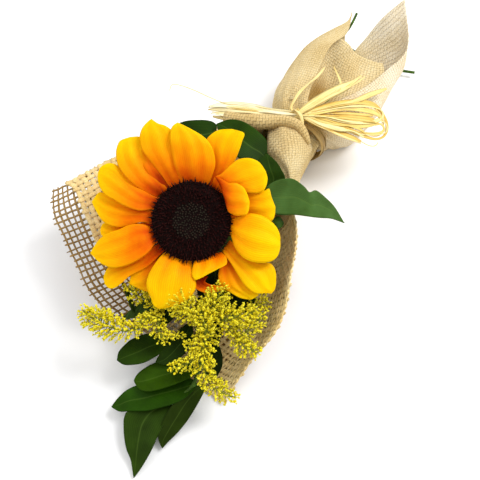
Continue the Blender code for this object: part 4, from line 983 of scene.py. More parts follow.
def burlap_wrap(looks):
    draw = random.Random(SEED + 1)
    grid = sheet_grid()
    normals = sheet_normals(grid)
    last = [side - 1 for side in grid.shape[:2]]
    # In the mouth the yarns are modelled one by one: a single open layer along the left side, tinted darker
    # as painted shade
    rows, _ = spaced(grid, 0, (0, YARN_ROWS * FINE), THREAD_PITCH[0])
    columns, _ = spaced(grid[:5 * FINE], 1, (0, last[1]), THREAD_PITCH[1])
    i, j = np.meshgrid(rows, columns, indexing="ij")
    closed = np.maximum(ease(i / FINE, 0.9, 2.0), ease(j / FINE, 5.5, 7.5))
    folded = ease(i / FINE, 0.6, 1.2) * (1 - ease(j / FINE, FLAP_COLUMNS - 0.3, FLAP_COLUMNS + 0.5))
    cover = 0.34 + 0.32 * closed * (1 - folded) + 0.2 * folded
    # Painted shade: yarns of the single open layer get the dark tint, and those under the flap half of it
    dark, jute = colour("#A68A5A"), colour("#FBE7B0")
    lit = (closed * (1 - 0.5 * folded))[:, :, None]
    layers = [(sampled(grid, i, j), sampled(normals, i, j), jute * lit + dark * (1 - lit), cover)]
    # The flap, on top of the sheet beside the fold
    flap_rows, _ = spaced(grid, 0, (FLAP_EDGE_ROW * FINE, YARN_ROWS * FINE), THREAD_PITCH[0])
    flap_columns, _ = spaced(grid[:5 * FINE], 1, (0, FLAP_COLUMNS * FINE), THREAD_PITCH[1])
    i, j = np.meshgrid(flap_rows, flap_columns, indexing="ij")
    i = i - (0.45 * FINE * np.exp(-j / 2.5)) * np.clip(1 - (i - flap_rows[0]) / 8, 0, 1)
    up = sampled(normals, i, j)
    lift = FLAP_LIFT * (1 - np.exp(-(j + 0.4) / 1.2))
    tints = np.broadcast_to(colour("#F4DDA6"), up.shape)
    layers.append((sampled(grid, i, j) + up * lift[:, :, None], up, tints, np.full(i.shape, 0.76)))
    spots, colours, faces, start = [], [], [], 0
    for places, up, tints, cover in layers:
        v, c, f = weave(places, unit(up), tints, cover, draw)
        spots.append(v)
        colours.append(c)
        faces += [[start + k for k in ring] for ring in f]
        start += len(v)
    places = np.concatenate(spots)
    places[:, 2] = np.maximum(places[:, 2], 0.05)
    mesh = bpy.data.meshes.new("yarns")
    mesh.from_pydata(on_table(places).tolist(), [], faces)
    store(mesh, "tint", np.concatenate(colours))
    store(mesh, "weave_place", np.zeros((len(places), 3)))
    yarns = bpy.data.objects.new("yarns", mesh)
    bpy.context.scene.collection.objects.link(yarns)
    pick(yarns)
    bpy.ops.object.mode_set(mode="EDIT")
    bpy.ops.mesh.select_all(action="SELECT")
    bpy.ops.mesh.normals_make_consistent(inside=False)
    bpy.ops.object.mode_set(mode="OBJECT")
    bpy.ops.object.shade_smooth()
    # From the neck on the weave has closed up, and it is cloth, which also shows between the yarns, as a
    # darker sheet of painted shade in the mouth
    collar = fine_grid(COLLAR_ROWS, 0.7)
    tuck = fine_grid(TUCKED_ROWS, 1.6)
    roll = rolled_edge()
    closing = (YARN_ROWS - 0.1) * FINE
    under_rim = 1.9 * FINE
    flap_width = (0, FLAP_COLUMNS * FINE)
    drawn_in = last[1] - 2
    pieces = [
        yarns,
        cloth("shade_behind_yarns", grid, (under_rim, (YARN_ROWS + 0.2) * FINE), (0, drawn_in), cloth_tint,
              BEHIND_YARNS),
        cloth("shade_behind_rim", grid, (0.3 * FINE, under_rim), (7 * FINE, drawn_in), cloth_tint, BEHIND_YARNS),
        cloth("gathered", grid, (closing, last[0]), (0, last[1]), cloth_tint),
        cloth("flap", grid, (closing, 6 * FINE), flap_width, cloth_tint, FLAP_LIFT),
        cloth("tucked", tuck, (0, len(tuck) - 1), (0, tuck.shape[1] - 1), hollow_tint),
        cloth("collar", collar, (0, len(collar) - 1), (0, collar.shape[1] - 1), "#E2D0A2"),
        cloth("roll", roll, (0, len(roll) - 1), (0, roll.shape[1] - 1), "#DFC892"),
    ]
    piece = joined("burlap_threads", pieces)
    finished(piece, "burlap_threads", looks, "burlap", "burlap_wrap")


# The sunflower. Each petal: how warm its yellow is (partly its own colour, partly painted shade) and rows of
# (left edge, right edge, crown) from its root

PETALS = {
    "top_left_behind": (0.75, [
        (-19.3, 20.2, -3, -11.9, 22.9, -3, 0), (-22.1, 24.7, -1, -13.2, 28.8, -2, 0.5),
        (-29, 31.8, 1.6, -18.3, 36.6, 0, 1), (-32.9, 40.3, 2, -23.5, 47.1, 0.5, 1),
        (-34.1, 48.3, 2, -27.5, 55.1, 0.5, 1), (-33.4, 55.7, 1, -33.1, 56.3, 1, 0)]),
    "top_left": (0.35, [
        (-13.3, 19.5, -3, -3.9, 22.2, -3, 0), (-18.6, 28.6, 0, -5, 28.6, 0, 0.5),
        (-25.8, 37.9, 3.4, -6.1, 37, 2.4, 1), (-32, 46.6, 4.6, -8.4, 48.1, 3.2, 1.4),
        (-33.9, 54.4, 5, -10.6, 57.2, 3.8, 1.2), (-32.2, 60.8, 4.8, -16.5, 62.5, 4, 0.8),
        (-28.8, 65.2, 4.2, -21.8, 64.3, 3.8, 0.3), (-26.1, 67.3, 3.6, -26.1, 67.3, 3.6, 0)]),
    "top": (0.38, [
        (-5.3, 20.9, -3, 9.4, 20.9, -3, 0), (-8.3, 28.6, 0.2, 12.9, 27.9, 0.2, 0.8),
        (-11.8, 40, 5, 15.9, 38.1, 4, 1.6), (-13.6, 51.6, 6.8, 13.8, 48.1, 5.4, 2),
        (-13.4, 58.7, 7, 8.6, 55, 5.8, 1.6), (-11.7, 62.4, 6.4, -0.3, 60.4, 6, 0.8),
        (-8.8, 64.6, 5.6, -8.7, 64.6, 5.6, 0)]),
    "top_right_wide": (0.42, [
        (8.7, 20.9, -4, 14.7, 19.6, -4, 0), (9.4, 26.9, -3, 18.1, 24.8, -2, 0),
        (10.9, 36.6, -0.5, 24.2, 32.6, 0, 0.5), (9.6, 45.9, 0, 28.8, 40, 1, 1),
        (9.6, 53.1, 0.5, 31.5, 46.3, 1.5, 1), (12.9, 57.5, 1, 33.6, 52.9, 2, 0.8),
        (18.2, 60.3, 1.2, 34.8, 58.2, 2, 0.3), (25.5, 60.9, 1.6, 26.9, 60.9, 1.6, 0)]),
    "right_upper_curled": (0.4, [
        (13.4, 20.9, -3, 17.5, 15.5, -3, 0), (15, 28.4, 2.4, 22.9, 20.5, 2, 1),
        (19.7, 30.9, 5.4, 30.8, 19, 4.5, 1.6), (25.5, 36.3, 6, 38.7, 18.4, 4.5, 2),
        (30.8, 40.3, 6, 45.3, 18.6, 4.5, 1.6), (38.5, 41.1, 6, 48.6, 21.3, 4.5, 1),
        (45.1, 38.3, 5.2, 50.3, 27.6, 4.6, 0.5), (48.9, 32.8, 4.6, 49, 32.7, 4.6, 0)]),
    "right_inner": (0.6, [
        (15.5, 29.2, 3.4, 22.6, 10.9, 3.4, -1.2), (19.4, 27.7, 6.6, 24.9, 5.8, 6, 0.5),
        (24.3, 24.8, 9, 28.2, 3.7, 8, 1), (29.7, 24.5, 9.6, 32.8, 3.4, 8.6, 1),
        (34.4, 21.7, 9.2, 36.4, 4.1, 8.6, 1), (37, 17.1, 8.4, 38.1, 8, 8.2, 0.3),
        (38.4, 12.9, 7.8, 38.4, 12.7, 7.8, 0)]),
    "right": (0.35, [
        (20.1, 10.9, -4, 22.1, 1.5, -4, 0), (26.8, 12.1, -2, 28.1, 1.5, -2, 0),
        (34.8, 17.9, 1, 36.1, 0.8, 0, 0.6), (42.1, 19.5, 2, 43.4, -0.6, 1.2, 1),
        (48, 20.1, 2.6, 49.3, -0.6, 1.6, 1), (51.4, 21.3, 2.6, 53.2, 0.3, 1.8, 0.6),
        (53, 15.9, 2.4, 55.1, 3.7, 1.8, 0.3), (55.5, 9.6, 2, 55.6, 9.3, 2, 0)]),
    "right_lower": (-0.1, [
        (20.8, -0.5, -3, 21.5, -9.8, -3, 0), (26.6, 1, 0.4, 25.4, -8.5, 0.4, 0.5),
        (32.6, 3.5, 5, 28.2, -16.5, 5.5, 1), (38.4, 4.9, 6.4, 32.8, -22.8, 7.6, 1.6),
        (44.3, 4, 6.8, 38.7, -26.2, 8.2, 2), (50.1, 1.5, 6.8, 45.8, -27.4, 8.2, 1.6),
        (55.4, -3.1, 6.6, 52.7, -26.4, 7.6, 1), (58.3, -9.2, 6, 56.9, -22.7, 6.6, 0.4),
        (58.6, -16.5, 5.8, 58.7, -16.8, 5.8, 0)]),
    "low_right": (-0.15, [
        (25.5, -12.5, -3, 20.1, -19.2, -3, 0), (32.1, -19.2, -0.5, 22.5, -23.1, 1, 0.5),
        (40.1, -24.5, 0, 26.4, -28.3, 3, 0.8), (47.4, -27.1, 0.4, 30, -34, 4, 1),
        (52.7, -28.1, 1, 34.3, -40.9, 4.4, 1.4), (55.6, -33.2, 2, 38.7, -45.5, 4.2, 1),
        (56, -39.9, 2.4, 43.3, -47.8, 3.8, 0.6), (55.2, -45, 2.6, 49.3, -47.6, 3, 0.3),
        (52.9, -47.9, 2.6, 52.8, -48, 2.6, 0)]),
    "low_right_under": (0.35, [
        (24.8, -19.2, -4, 14.7, -23.2, -4, 0), (26.2, -23.8, -1.6, 19.5, -27.8, -1.6, 0.3),
        (30.8, -31.1, 0, 18.3, -32.1, 0, 0.6), (35.5, -38.4, 0.6, 17.7, -37.7, 0.4, 1),
        (39.4, -44.3, 1.2, 19.2, -43.2, 0.8, 1), (43, -47.6, 1.4, 25.5, -47.2, 1, 0.6),
        (44.5, -49.1, 1.2, 32.8, -51.1, 1, 0.3), (39.8, -52, 0.8, 39.4, -52, 0.8, 0)]),
    "low_rolled": (0.25, [
        (20.1, -20.5, -2, 2.8, -23.2, -2, 0), (23.2, -24.1, 3, 1.2, -29.4, 3, 0.6),
        (23.1, -28.1, 7, 0.3, -33.5, 5.6, 1), (17.8, -31.5, 8.2, 1.4, -36.9, 6.2, 0.8),
        (12.4, -34.2, 8, 3.4, -38.7, 6.8, 0.4), (8.4, -36.5, 7.2, 8.3, -36.6, 7.2, 0)]),
    "low_rolled_under": (0.8, [
        (10.8, -36.5, -1.5, 0.3, -33.1, 0, -1), (8.8, -39.8, 2, 1.6, -38.9, 3.5, -2),
        (12, -42.1, 3.6, 2.8, -44.2, 3, -2), (16.3, -42.8, 3.6, 7.1, -46.6, 2.6, -1),
        (20.5, -43.2, 3.4, 13, -47.8, 2.4, 0), (24.5, -44.4, 2.8, 24.4, -44.5, 2.8, 0)]),
    "low": (-0.2, [
        (0.1, -23.2, -3, -15.9, -19.2, -3, 0), (0.3, -29.8, 0.6, -20.2, -23.1, 0.6, 0.6),
        (1.9, -34.9, 4.4, -24.1, -28.5, 4.4, 1.2), (3.3, -40, 5.8, -27.1, -33.7, 6, 1.8),
        (3, -44.6, 6.2, -29, -40, 6.6, 2), (0.1, -49.5, 6.2, -28.1, -46.2, 6.4, 1.6),
        (-5.2, -53.8, 5.8, -26.1, -51.3, 6, 1), (-11.8, -56.3, 5.2, -24.8, -55.3, 5.4, 0.4),
        (-19.8, -57.8, 4.6, -21.1, -57.8, 4.6, 0)]),
    "low_left_under": (0.6, [
        (-14, -23.2, -4, -21.4, -19.2, -4, 0), (-23.9, -36.5, -2.6, -30.6, -27.9, -2.6, 0.5),
        (-26.5, -45.8, -2, -35.8, -31.8, -2, 0.5), (-31.8, -46.5, -2, -40.5, -35.2, -2, 0.3),
        (-41.4, -41.8, -2, -41.5, -42.2, -2, 0)]),
    "left_low": (0.5, [
        (-17.9, -19.2, -3, -22.6, -13.9, -3, 0), (-21.8, -23.2, -1.6, -25.8, -17.2, -2, 0.3),
        (-29, -30, -0.4, -34.4, -23.2, -1, 0.6), (-34.8, -33.3, 0.2, -42.3, -27.1, -0.6, 0.8),
        (-40.8, -36.4, 0.4, -48.9, -28.5, -0.4, 0.8), (-46.1, -41, 0.6, -54.2, -29.6, -0.2, 0.6),
        (-50.7, -44.3, 0.6, -57.1, -33.1, -0.2, 0.4), (-54.7, -44.6, 0.4, -58.4, -37.4, 0, 0.2),
        (-57.5, -42, 0.2, -57.6, -41.9, 0.2, 0)]),
    "left_lower": (0.42, [
        (-20.6, -14.5, -3, -22.6, -4.5, -3, 0), (-24, -14.8, -0.4, -26.7, -3.9, -0.6, 0.6),
        (-27.4, -19.9, 3.6, -33.4, -2, 2.4, 1.2), (-33, -24.7, 5.6, -40.9, -2.7, 3.8, 1.6),
        (-40.6, -28.7, 6, -48, -5.8, 4.6, 1.6), (-47.9, -30.6, 5.4, -53.9, -7.9, 4.8, 1.2),
        (-54.8, -30.1, 4.8, -60, -11.7, 4.6, 0.8), (-61.1, -26.7, 4, -63.8, -16.5, 4, 0.3),
        (-66.6, -21.1, 3.4, -66.6, -21.3, 3.4, 0)]),
    "left_behind": (0.6, [
        (-23.4, -7.2, -4, -23.4, 0.9, -4, 0), (-34.6, -9.8, -3, -34.6, -1.2, -3, 0.4),
        (-49.3, -12.5, -2.6, -49.3, -1.8, -2.6, 0.4), (-59.2, -10.2, -2.4, -58.6, -1.2, -2.4, 0.3),
        (-61.2, -5.9, -2.4, -61.2, -6.1, -2.4, 0)]),
    "left": (0.45, [
        (-24, -3.8, -3.5, -23.3, 6.2, -3.5, 0), (-28.1, -1.6, -1.8, -27.9, 7.5, -2.4, 0.4),
        (-33.8, -0.8, -0.4, -35.8, 10.1, -2, 0.8), (-43.5, -3.8, 0, -46.4, 14.1, -1.4, 1),
        (-51.4, -3.8, 0.2, -54.3, 17.1, -1, 1), (-58.8, -0.2, 0, -59.6, 19.2, -0.8, 0.8),
        (-63.2, 6.3, -0.2, -62.5, 18.4, -0.6, 0.4), (-66.3, 12.7, -0.4, -66.3, 12.9, -0.4, 0)]),
    "left_upper": (0.4, [
        (-22.6, 6.2, -3, -21.3, 16.2, -3, 0), (-26.4, 7.8, -1, -25.5, 16.8, -1.6, 0.5),
        (-34.8, 6.9, 2.2, -32.9, 21, 0, 1.2), (-43.5, 9.9, 3.4, -39.5, 26.6, 0.2, 1.4),
        (-50.9, 13.9, 3.6, -45.7, 32.7, 0.6, 1.4), (-56.8, 17.5, 3.4, -50, 37.4, 0.8, 1),
        (-60.8, 23.4, 2.8, -55.3, 38.4, 1, 0.8), (-62, 29.1, 2, -59.9, 36, 1.2, 0.3),
        (-61.6, 32.8, 1.6, -61.5, 33.1, 1.6, 0)]),
    "upper_left": (0.35, [
        (-23.3, 16.2, -3, -15.9, 20.9, -3, 0), (-28.6, 18.3, -1, -18.5, 24.8, -1.6, 0.5),
        (-36.6, 23, 1.8, -23.6, 32.6, 0, 1.2), (-42.8, 28.7, 3, -27.6, 40.5, 0.2, 1.5),
        (-48, 36.2, 3.4, -30.1, 47.1, 0.6, 1.4), (-49.7, 43.5, 3.2, -31.8, 51.8, 0.6, 1),
        (-48.9, 49.5, 2.6, -33.2, 54.8, 0.8, 0.6), (-46.7, 53.4, 2, -35.4, 56.1, 1, 0.3),
        (-40.6, 55.7, 1.4, -40.5, 55.7, 1.4, 0)]),
}


def blade(name, rows, place, thickness, shape, steps=40, cells=16, crowd=1.35, **values):
    """A thin blade between two edges, lifted across by its crown and shaped by a rule, made solid."""
    fine = evenly(smooth(np.array(rows, float), 12), steps + 1, crowd)
    left, right, crown = fine[:, None, :3], fine[:, None, 3:6], fine[:, 6:7]
    u = np.linspace(0, 1, cells + 1)[None, :, None]
    a = 2 * u[:, :, 0] - 1
    v = np.linspace(0, 1, steps + 1)[:, None]
    middle = (fine[:, :3] + fine[:, 3:6]) / 2
    up = unit(np.cross(fine[:, 3:6] - fine[:, :3] + 1e-6, np.gradient(middle, axis=0)))
    up[-1] = up[-2]
    wide = np.linalg.norm(fine[:, 3:6] - fine[:, :3], axis=1)[:, None]
    points = left + (right - left) * u + up[:, None] * shape(a, v, crown, wide)[:, :, None]
    values = {key: np.broadcast_to(np.asarray(x, float), points.shape[:2] + np.shape(x)).copy()
              for key, x in values.items()}
    obj = net(name, place(points), **values)
    solid = obj.modifiers.new("thickness", "SOLIDIFY")
    solid.thickness = thickness * MM
    solid.offset = -1.0
    apply_modifiers(obj)
    return obj


def sunflower_petals(looks):
    draw = random.Random(SEED + 2)
    pieces = []
    for name, (warmth, rows) in PETALS.items():
        lean, beat, phase = draw.uniform(-0.1, 0.1), draw.uniform(2.0, 3.2), draw.uniform(0, 6)

        def shape(a, v, crown, wide):
            """Arched across, with two shallow grooves lengthwise, and a margin that ripples a little."""
            along = np.sin(np.pi * np.clip(v, 0, 1)) ** 0.6
            grooves = np.exp(-((np.abs(a - lean) - 0.4) / 0.17) ** 2) - 0.5 * np.exp(-((a - lean) / 0.2) ** 2)
            ripple = 0.022 * wide * a * np.abs(a) * np.sin(beat * 2 * np.pi * v + phase + 1.5 * a)
            return crown * (1 - a * a) - 0.028 * wide * grooves * along + ripple * along

        pieces.append(blade(f"petal_{name}", rows, on_head, PETAL_THICKNESS, shape, warmth=warmth))
    finished(joined("ray_petals", pieces), "ray_petals", looks, "ray_petal", "sunflower_petals")


FLORET_COUNT = 720
GOLDEN_ANGLE = 137.508
BUD, OPEN, CHAFF = 0, 1, 2
# Buds out to the first share of the disc's radius, mostly open florets to the second, mostly chaff beyond it
BUD_SHARE = 0.45
OPEN_SHARE = 0.86


def disc_height(share):
    """Height of the disc's surface above the face, by the share of its radius: sunk in the middle."""
    return (4.4 - 3.4 * share ** 2 - 2.2 * np.exp(-((share - 0.05) / 0.26) ** 2)
            + 1.4 * np.exp(-((share - 0.8) / 0.13) ** 2))


def floret_bud():
    """A closed floret: a small blunt bud."""
    bpy.ops.mesh.primitive_uv_sphere_add(segments=6, ring_count=4, radius=0.85 * MM)
    bpy.ops.transform.resize(value=(1, 1, 1.25))
    bpy.ops.object.transform_apply(scale=True)
    return bpy.context.object


def floret_open():
    """An open floret: a flared tube whose rim has five lobes."""
    bpy.ops.mesh.primitive_cone_add(vertices=10, radius1=0.35 * MM, radius2=1.05 * MM, depth=1.9 * MM)
    bpy.ops.object.mode_set(mode="EDIT")
    model_edges(lambda p: p.z > 0)
    bpy.ops.mesh.inset(thickness=0.35 * MM)
    bpy.ops.transform.translate(value=(0, 0, -0.7 * MM))
    model_edges(lambda p: p.z > 0.9 and round(math.degrees(math.atan2(p.x, p.y)) / 36) % 2 == 0)
    bpy.ops.transform.resize(value=(0.62, 0.62, 1), center_override=(0, 0, 0))
    bpy.ops.transform.translate(value=(0, 0, -0.5 * MM))
    bpy.ops.object.mode_set(mode="OBJECT")
    return bpy.context.object


def floret_chaff():
    """A dry pointed scale that stands between the florets and curls outwards."""
    bpy.ops.mesh.primitive_cone_add(vertices=5, radius1=0.6 * MM, radius2=0.4 * MM, depth=1.6 * MM)
    bpy.ops.object.mode_set(mode="EDIT")
    model_edges(lambda p: p.z > 0)
    bpy.ops.mesh.extrude_region_move(TRANSFORM_OT_translate={"value": (0.5 * MM, 0, 1.0 * MM)})
    bpy.ops.transform.resize(value=(0.6, 0.6, 1))
    bpy.ops.mesh.extrude_region_move(TRANSFORM_OT_translate={"value": (0.9 * MM, 0, 0.8 * MM)})
    bpy.ops.transform.resize(value=(0.15, 0.15, 1))
    bpy.ops.object.mode_set(mode="OBJECT")
    return bpy.context.object


def sunflower_disc(looks):
    """Florets on two sets of spirals: buds in the middle, open ones further out, and chaff at the rim."""
    draw = random.Random(SEED + 3)
    head = head_matrix()
    profile = [(0.4, float(disc_height(0.02)))]
    profile += [(DISC_RADIUS * s, float(disc_height(s))) for s in np.linspace(0.08, 0.97, 14)]
    profile += [(26.4, -1.2), (22.0, -3.6), (19.6, -5.6), (0.4, -5.8)]
    rings = turned(profile, 60)
    shade = np.full(rings.shape[:2], 0.0)
    base = net("disc_floor", on_head(rings), closed=True, tip=shade, tone=shade + 0.05)
    copies = []
    for n in range(FLORET_COUNT):
        share = math.sqrt((n + 0.5) / FLORET_COUNT) * 0.985
        angle = n * math.radians(GOLDEN_ANGLE) + draw.uniform(-0.03, 0.03) / max(share, 0.15)
        out = np.array((math.cos(angle), math.sin(angle), 0.0))
        spot = out * DISC_RADIUS * share
        spot[2] = float(disc_height(share)) + draw.uniform(-0.4, 0.4)
        slope = float(disc_height(share - 0.02) - disc_height(share + 0.02)) / (0.04 * DISC_RADIUS)
        loose = 0.15 + 0.6 * share
        lean = out * (0.5 * slope + 1.0 * share ** 4) + np.array((draw.uniform(-loose, loose),
                                                                 draw.uniform(-loose, loose), 1.0))
        if share < BUD_SHARE:
            kind, size, tone = BUD, 0.75 + 0.4 * share, draw.uniform(0, 0.14)
        elif share < OPEN_SHARE:
            kind, size = (OPEN if draw.random() < 0.6 else CHAFF), draw.uniform(0.8, 1.15)
            tone = 0.15 + 0.5 * (share - BUD_SHARE) + draw.uniform(0, 0.25)
        else:
            kind, size = (CHAFF if draw.random() < 0.7 else OPEN), draw.uniform(0.9, 1.3)
            tone = draw.uniform(0.1, 0.4)
        # A copy's X axis is turned outwards, so that the chaff curls away from the middle
        z = unit(head[:3, :3] @ lean)
        x = head[:3, :3] @ out
        x = unit(x - z * x.dot(z))
        matrix = np.eye(4)
        matrix[:3, :3] = np.stack((x, np.cross(z, x), z), axis=1) * size
        matrix[:3, 3] = on_head(spot)
        copies.append((kind, matrix, tone))
    florets = stamp("disc_florets", [floret_bud(), floret_open(), floret_chaff()], copies)
    finished(joined("disc_florets", [base, florets]), "disc_florets", looks, "disc_florets", "sunflower_disc")


# Each layer of bracts: how far out they start and reach, and how far their tips hang
BRACTS = 13
BRACT_LAYERS = ((20.0, 44.0, -13.0), (18.0, 38.0, -17.5))
# The calyx as an outline of (radius, height), and the stem as points of (x, y, z, radius)
CALYX = [(0.4, -5.2), (21.0, -5.2), (27.0, -5.8), (28.6, -7.4), (24.0, -13.0), (15.0, -18.5), (8.5, -24.0),
         (6.5, -29.0)]
SUNFLOWER_STEM = [
    (5.5, -49.5, 48.5, 7.4),
    (5.0, -41.0, 39.5, 6.6),
    (9.5, -24.0, 33.0, 6.3),
    (20.0, 12.0, 30.0, 6.3),
    (28.0, 46.0, 28.0, 6.5),
    (31.0, 72.0, 27.0, 6.6),
    (33.0, 94.0, 24.0, 6.5),
    (35.0, 116.0, 21.0, 6.4),
]


def leaf_shape(a, v, crown, wide):
    """Folded a little along its midrib, with a slow wave lengthwise."""
    wave = 0.012 * wide * np.sin(2 * np.pi * (1.3 * v + 0.4 * a)) * np.sin(np.pi * v)
    return crown * (1 - np.abs(a) ** 1.3) + wave


def green_calyx(looks):
    """The green back of the head, its pointed bracts in two rows, and the stem that nods down to the neck."""
    draw = random.Random(SEED + 4)
    rings = turned(smooth(CALYX, 4), 48)
    tints = np.broadcast_to(colour("#3C5A1C"), rings.shape).copy()
    pieces = [net("calyx", on_head(rings), closed=True, tint=tints)]
    pieces.append(tube("stalk", SUNFLOWER_STEM, sides=24, steps=8, tint=colour("#6B8A33")))
    for layer, (start, reach, drop) in enumerate(BRACT_LAYERS):
        for b in range(BRACTS):
            angle = 2 * math.pi * (b + 0.5 * layer) / BRACTS + draw.uniform(-0.06, 0.06)
            out = np.array((math.cos(angle), math.sin(angle), 0.0))
            side = np.array((-out[1], out[0], 0.0))
            rows = []
            for t in (0.0, 0.2, 0.45, 0.7, 0.9, 1.0):
                height = -7.2 - 3.2 * layer + drop * 0.35 * t * t + 2.0 * math.sin(3.1 * t)
                middle = out * (start + (reach - start) * t) + np.array((0, 0, height))
                half = 5.4 * (1 - t ** 1.7) ** 0.9 + 0.02
                rows.append((*(middle + side * half), *(middle - side * half), 0.9 * (1 - t)))
            tint = colour(draw.choice(("#3E5C1E", "#4A6A26", "#36521A")))
            pieces.append(blade("bract", rows, on_head, 0.7, leaf_shape, steps=16, cells=8, tint=tint))
    finished(joined("green_calyx", pieces), "green_calyx", looks, "green_stem", "sunflower_stem")


# Ruscus: each leaf is its colour and rows of (left edge, right edge, fold) from foot to tip

RUSCUS_LEAVES = {
    "front_a": ("#26400A", [
        (29.9, -126.8, 22.3, 27, -124.7, 21.7, -0.2), (28, -134, 23.9, 18.5, -124.8, 21.4, -0.8),
        (23.7, -143, 25, 9.3, -129.4, 21.2, -1.3), (19.6, -148.7, 24.6, 3.2, -136.4, 20.7, -1.3),
        (13.4, -152.5, 23.2, 0.6, -142.8, 20.1, -1), (7.8, -154.5, 21.6, -0.4, -148.2, 19.6, -0.7),
        (1.7, -153.7, 20, 1.6, -153.4, 20, 0)]),
    "front_b": ("#20360A", [
        (37, -111.5, 25.4, 32.9, -110.9, 26.6, -0.3), (41.2, -119.3, 24, 29.9, -119.2, 27.1, -0.7),
        (40.9, -128.6, 22.9, 28.5, -127.7, 26.4, -0.8), (37.8, -136.7, 21.6, 26.9, -135.7, 24.6, -0.7),
        (33, -142, 20.8, 25.9, -140.2, 22.8, -0.5), (25.9, -143.5, 21, 25.8, -143.2, 21, 0)]),
    "front_c": ("#2F4E03", [
        (53.8, -137, 19.2, 51.7, -134.7, 18.8, -0.2), (50.1, -143.8, 20.7, 42.6, -132.2, 18.5, -0.9),
        (44.5, -151.2, 21.4, 34, -136, 18.4, -1.2), (37.7, -157.9, 20.5, 25.6, -141.9, 17.2, -1.3),
        (30.8, -162.2, 18.2, 20.1, -148.7, 15.4, -1.1), (24.2, -162.9, 15.9, 17.3, -154.4, 14.1, -0.7),
        (17.6, -159.5, 14, 17.4, -159.2, 14, 0)]),
    "front_d": ("#234604", [
        (56.9, -143.1, 15.2, 54.9, -140.9, 14.8, -0.2), (55.4, -151.5, 16.1, 47.5, -141.4, 14.4, -0.9),
        (50.7, -159.8, 16.6, 38.2, -146.8, 14.2, -1.2), (43.9, -166.7, 16.1, 28.8, -153.3, 13.4, -1.3),
        (35.4, -173.2, 14.6, 21.5, -159.6, 12, -1.3), (25.4, -177.5, 12.2, 15.7, -166.2, 10.3, -1),
        (18.8, -180.6, 10, 12.8, -173.3, 8.8, -0.6), (11.9, -180.2, 8, 11.8, -180.1, 8, 0)]),
    "front_e": ("#2A420B", [
        (45.7, -157.6, 12, 43.4, -158.8, 12, -0.2), (48.5, -163.7, 11.9, 34.8, -167.7, 11.9, -0.9),
        (48.9, -172.3, 11.6, 26, -173.6, 11.6, -1.4), (49.5, -182, 10.8, 23.5, -181.3, 10.8, -1.6),
        (50.2, -191.2, 9.2, 27.6, -189.8, 9.2, -1.4), (49.8, -199, 6.8, 34.5, -198.6, 6.8, -0.9),
        (49, -205.7, 4.8, 40.6, -203.5, 4.8, -0.5), (47.6, -211.9, 2, 47.4, -211.8, 2, 0)]),
    "front_f": ("#283B07", [
        (62.8, -140.3, 13.4, 59.4, -140.9, 14.6, -0.3), (62.8, -145.1, 12, 53.3, -150.4, 15.4, -0.8),
        (62.6, -153.1, 10.5, 49.3, -160.7, 15.3, -1.1), (61.5, -164.3, 8.1, 48.3, -172, 13, -1.1),
        (59.1, -174.5, 5.3, 48.4, -180.6, 9.2, -0.9), (56.2, -182.5, 3.8, 50.1, -184.2, 5.8, -0.5),
        (54.8, -187.5, 3, 54.6, -187.5, 3, 0)]),
    "front_k": ("#1B2E08", [
        (54, -110.6, 19.1, 49.6, -113.7, 20.9, -0.3), (59.3, -114, 16.3, 49.8, -121.4, 20.4, -0.7),
        (63.3, -118.8, 13.6, 52.9, -128.5, 18.4, -0.8), (65.4, -125.2, 11.3, 57.3, -132.8, 15.1, -0.7),
        (64.7, -134.1, 9.9, 64.4, -134.3, 10.1, 0)]),
    "back_g": ("#1E3A08", [
        (-15.4, 22.4, 58.2, -17.1, 27.3, 57.8, -0.2), (-11.5, 10.6, 59.7, -22.2, 28.8, 57.6, -1),
        (-14.7, 1.4, 61.3, -28.6, 26.6, 58.5, -1.3), (-22.2, 0, 60.9, -36.3, 22, 58.4, -1.2),
        (-32.5, 4.8, 58.8, -41.4, 18.9, 57.2, -0.8), (-45.1, 15.3, 56, -45.3, 15.6, 56, 0)]),
    "back_h": ("#233F09", [
        (26.2, 15.1, 55.5, 27, 21.7, 56.5, -0.4), (21.5, 9.8, 56.6, 23, 29.3, 59.6, -1.1),
        (15, 6.7, 58.7, 17.3, 31.2, 62.5, -1.4), (6.5, 7.6, 60.9, 9.1, 32.8, 64.8, -1.4),
        (-2.5, 12.3, 61.8, -0.3, 33.5, 65.1, -1.2), (-10.6, 18.5, 61.8, -9.2, 31.6, 63.8, -0.7),
        (-16.4, 25.2, 62, -16.3, 25.4, 62, 0)]),
    "back_i": ("#233F09", [
        (40.5, -4.6, 57.4, 44.9, -2.4, 58.6, -0.3), (34.1, -1.1, 58.5, 49.7, 2.9, 62.4, -1),
        (28.9, 4.4, 60.6, 45.3, 7.1, 64.5, -1), (26.1, 11.6, 60.8, 38.7, 12.7, 63.7, -0.7),
        (28.5, 18.2, 61, 28.8, 18.3, 61, 0)]),
    "side_j": ("#4C6F34", [
        (40.6, -8.3, 61, 47.5, -19.2, 59, -0.9), (44.8, -2.8, 64, 54.1, -25, 60.3, -1.6),
        (50.8, 0.4, 66.9, 61.9, -24.2, 62.8, -1.8), (57.1, 1.4, 68.9, 68.9, -22, 64.9, -1.7),
        (66, -1.7, 70, 76.3, -20.7, 66.7, -1.4), (71.3, -4.4, 70, 81.6, -19.4, 67.2, -1.2),
        (74.6, -0.9, 69.9, 85.9, -17.6, 66.8, -1.3), (82.8, -2.4, 68.3, 91.4, -14.7, 66, -1),
        (90.9, -5.2, 66.3, 95.3, -13.3, 64.9, -0.6), (101.1, -11.9, 63, 101, -11.8, 63, 0)]),
    "side_small": ("#35521C", [
        (55.7, -29.5, 56.2, 57.2, -31.1, 55.8, 0.3), (56.2, -25.9, 57.3, 60.1, -32.4, 55.8, 0.8),
        (58.2, -23.8, 57, 62.6, -31.2, 55.3, 1), (60.6, -23.8, 55.4, 63.2, -28.1, 54.5, 0.6),
        (62.9, -25.2, 54, 63, -25.5, 54, 0)]),
}
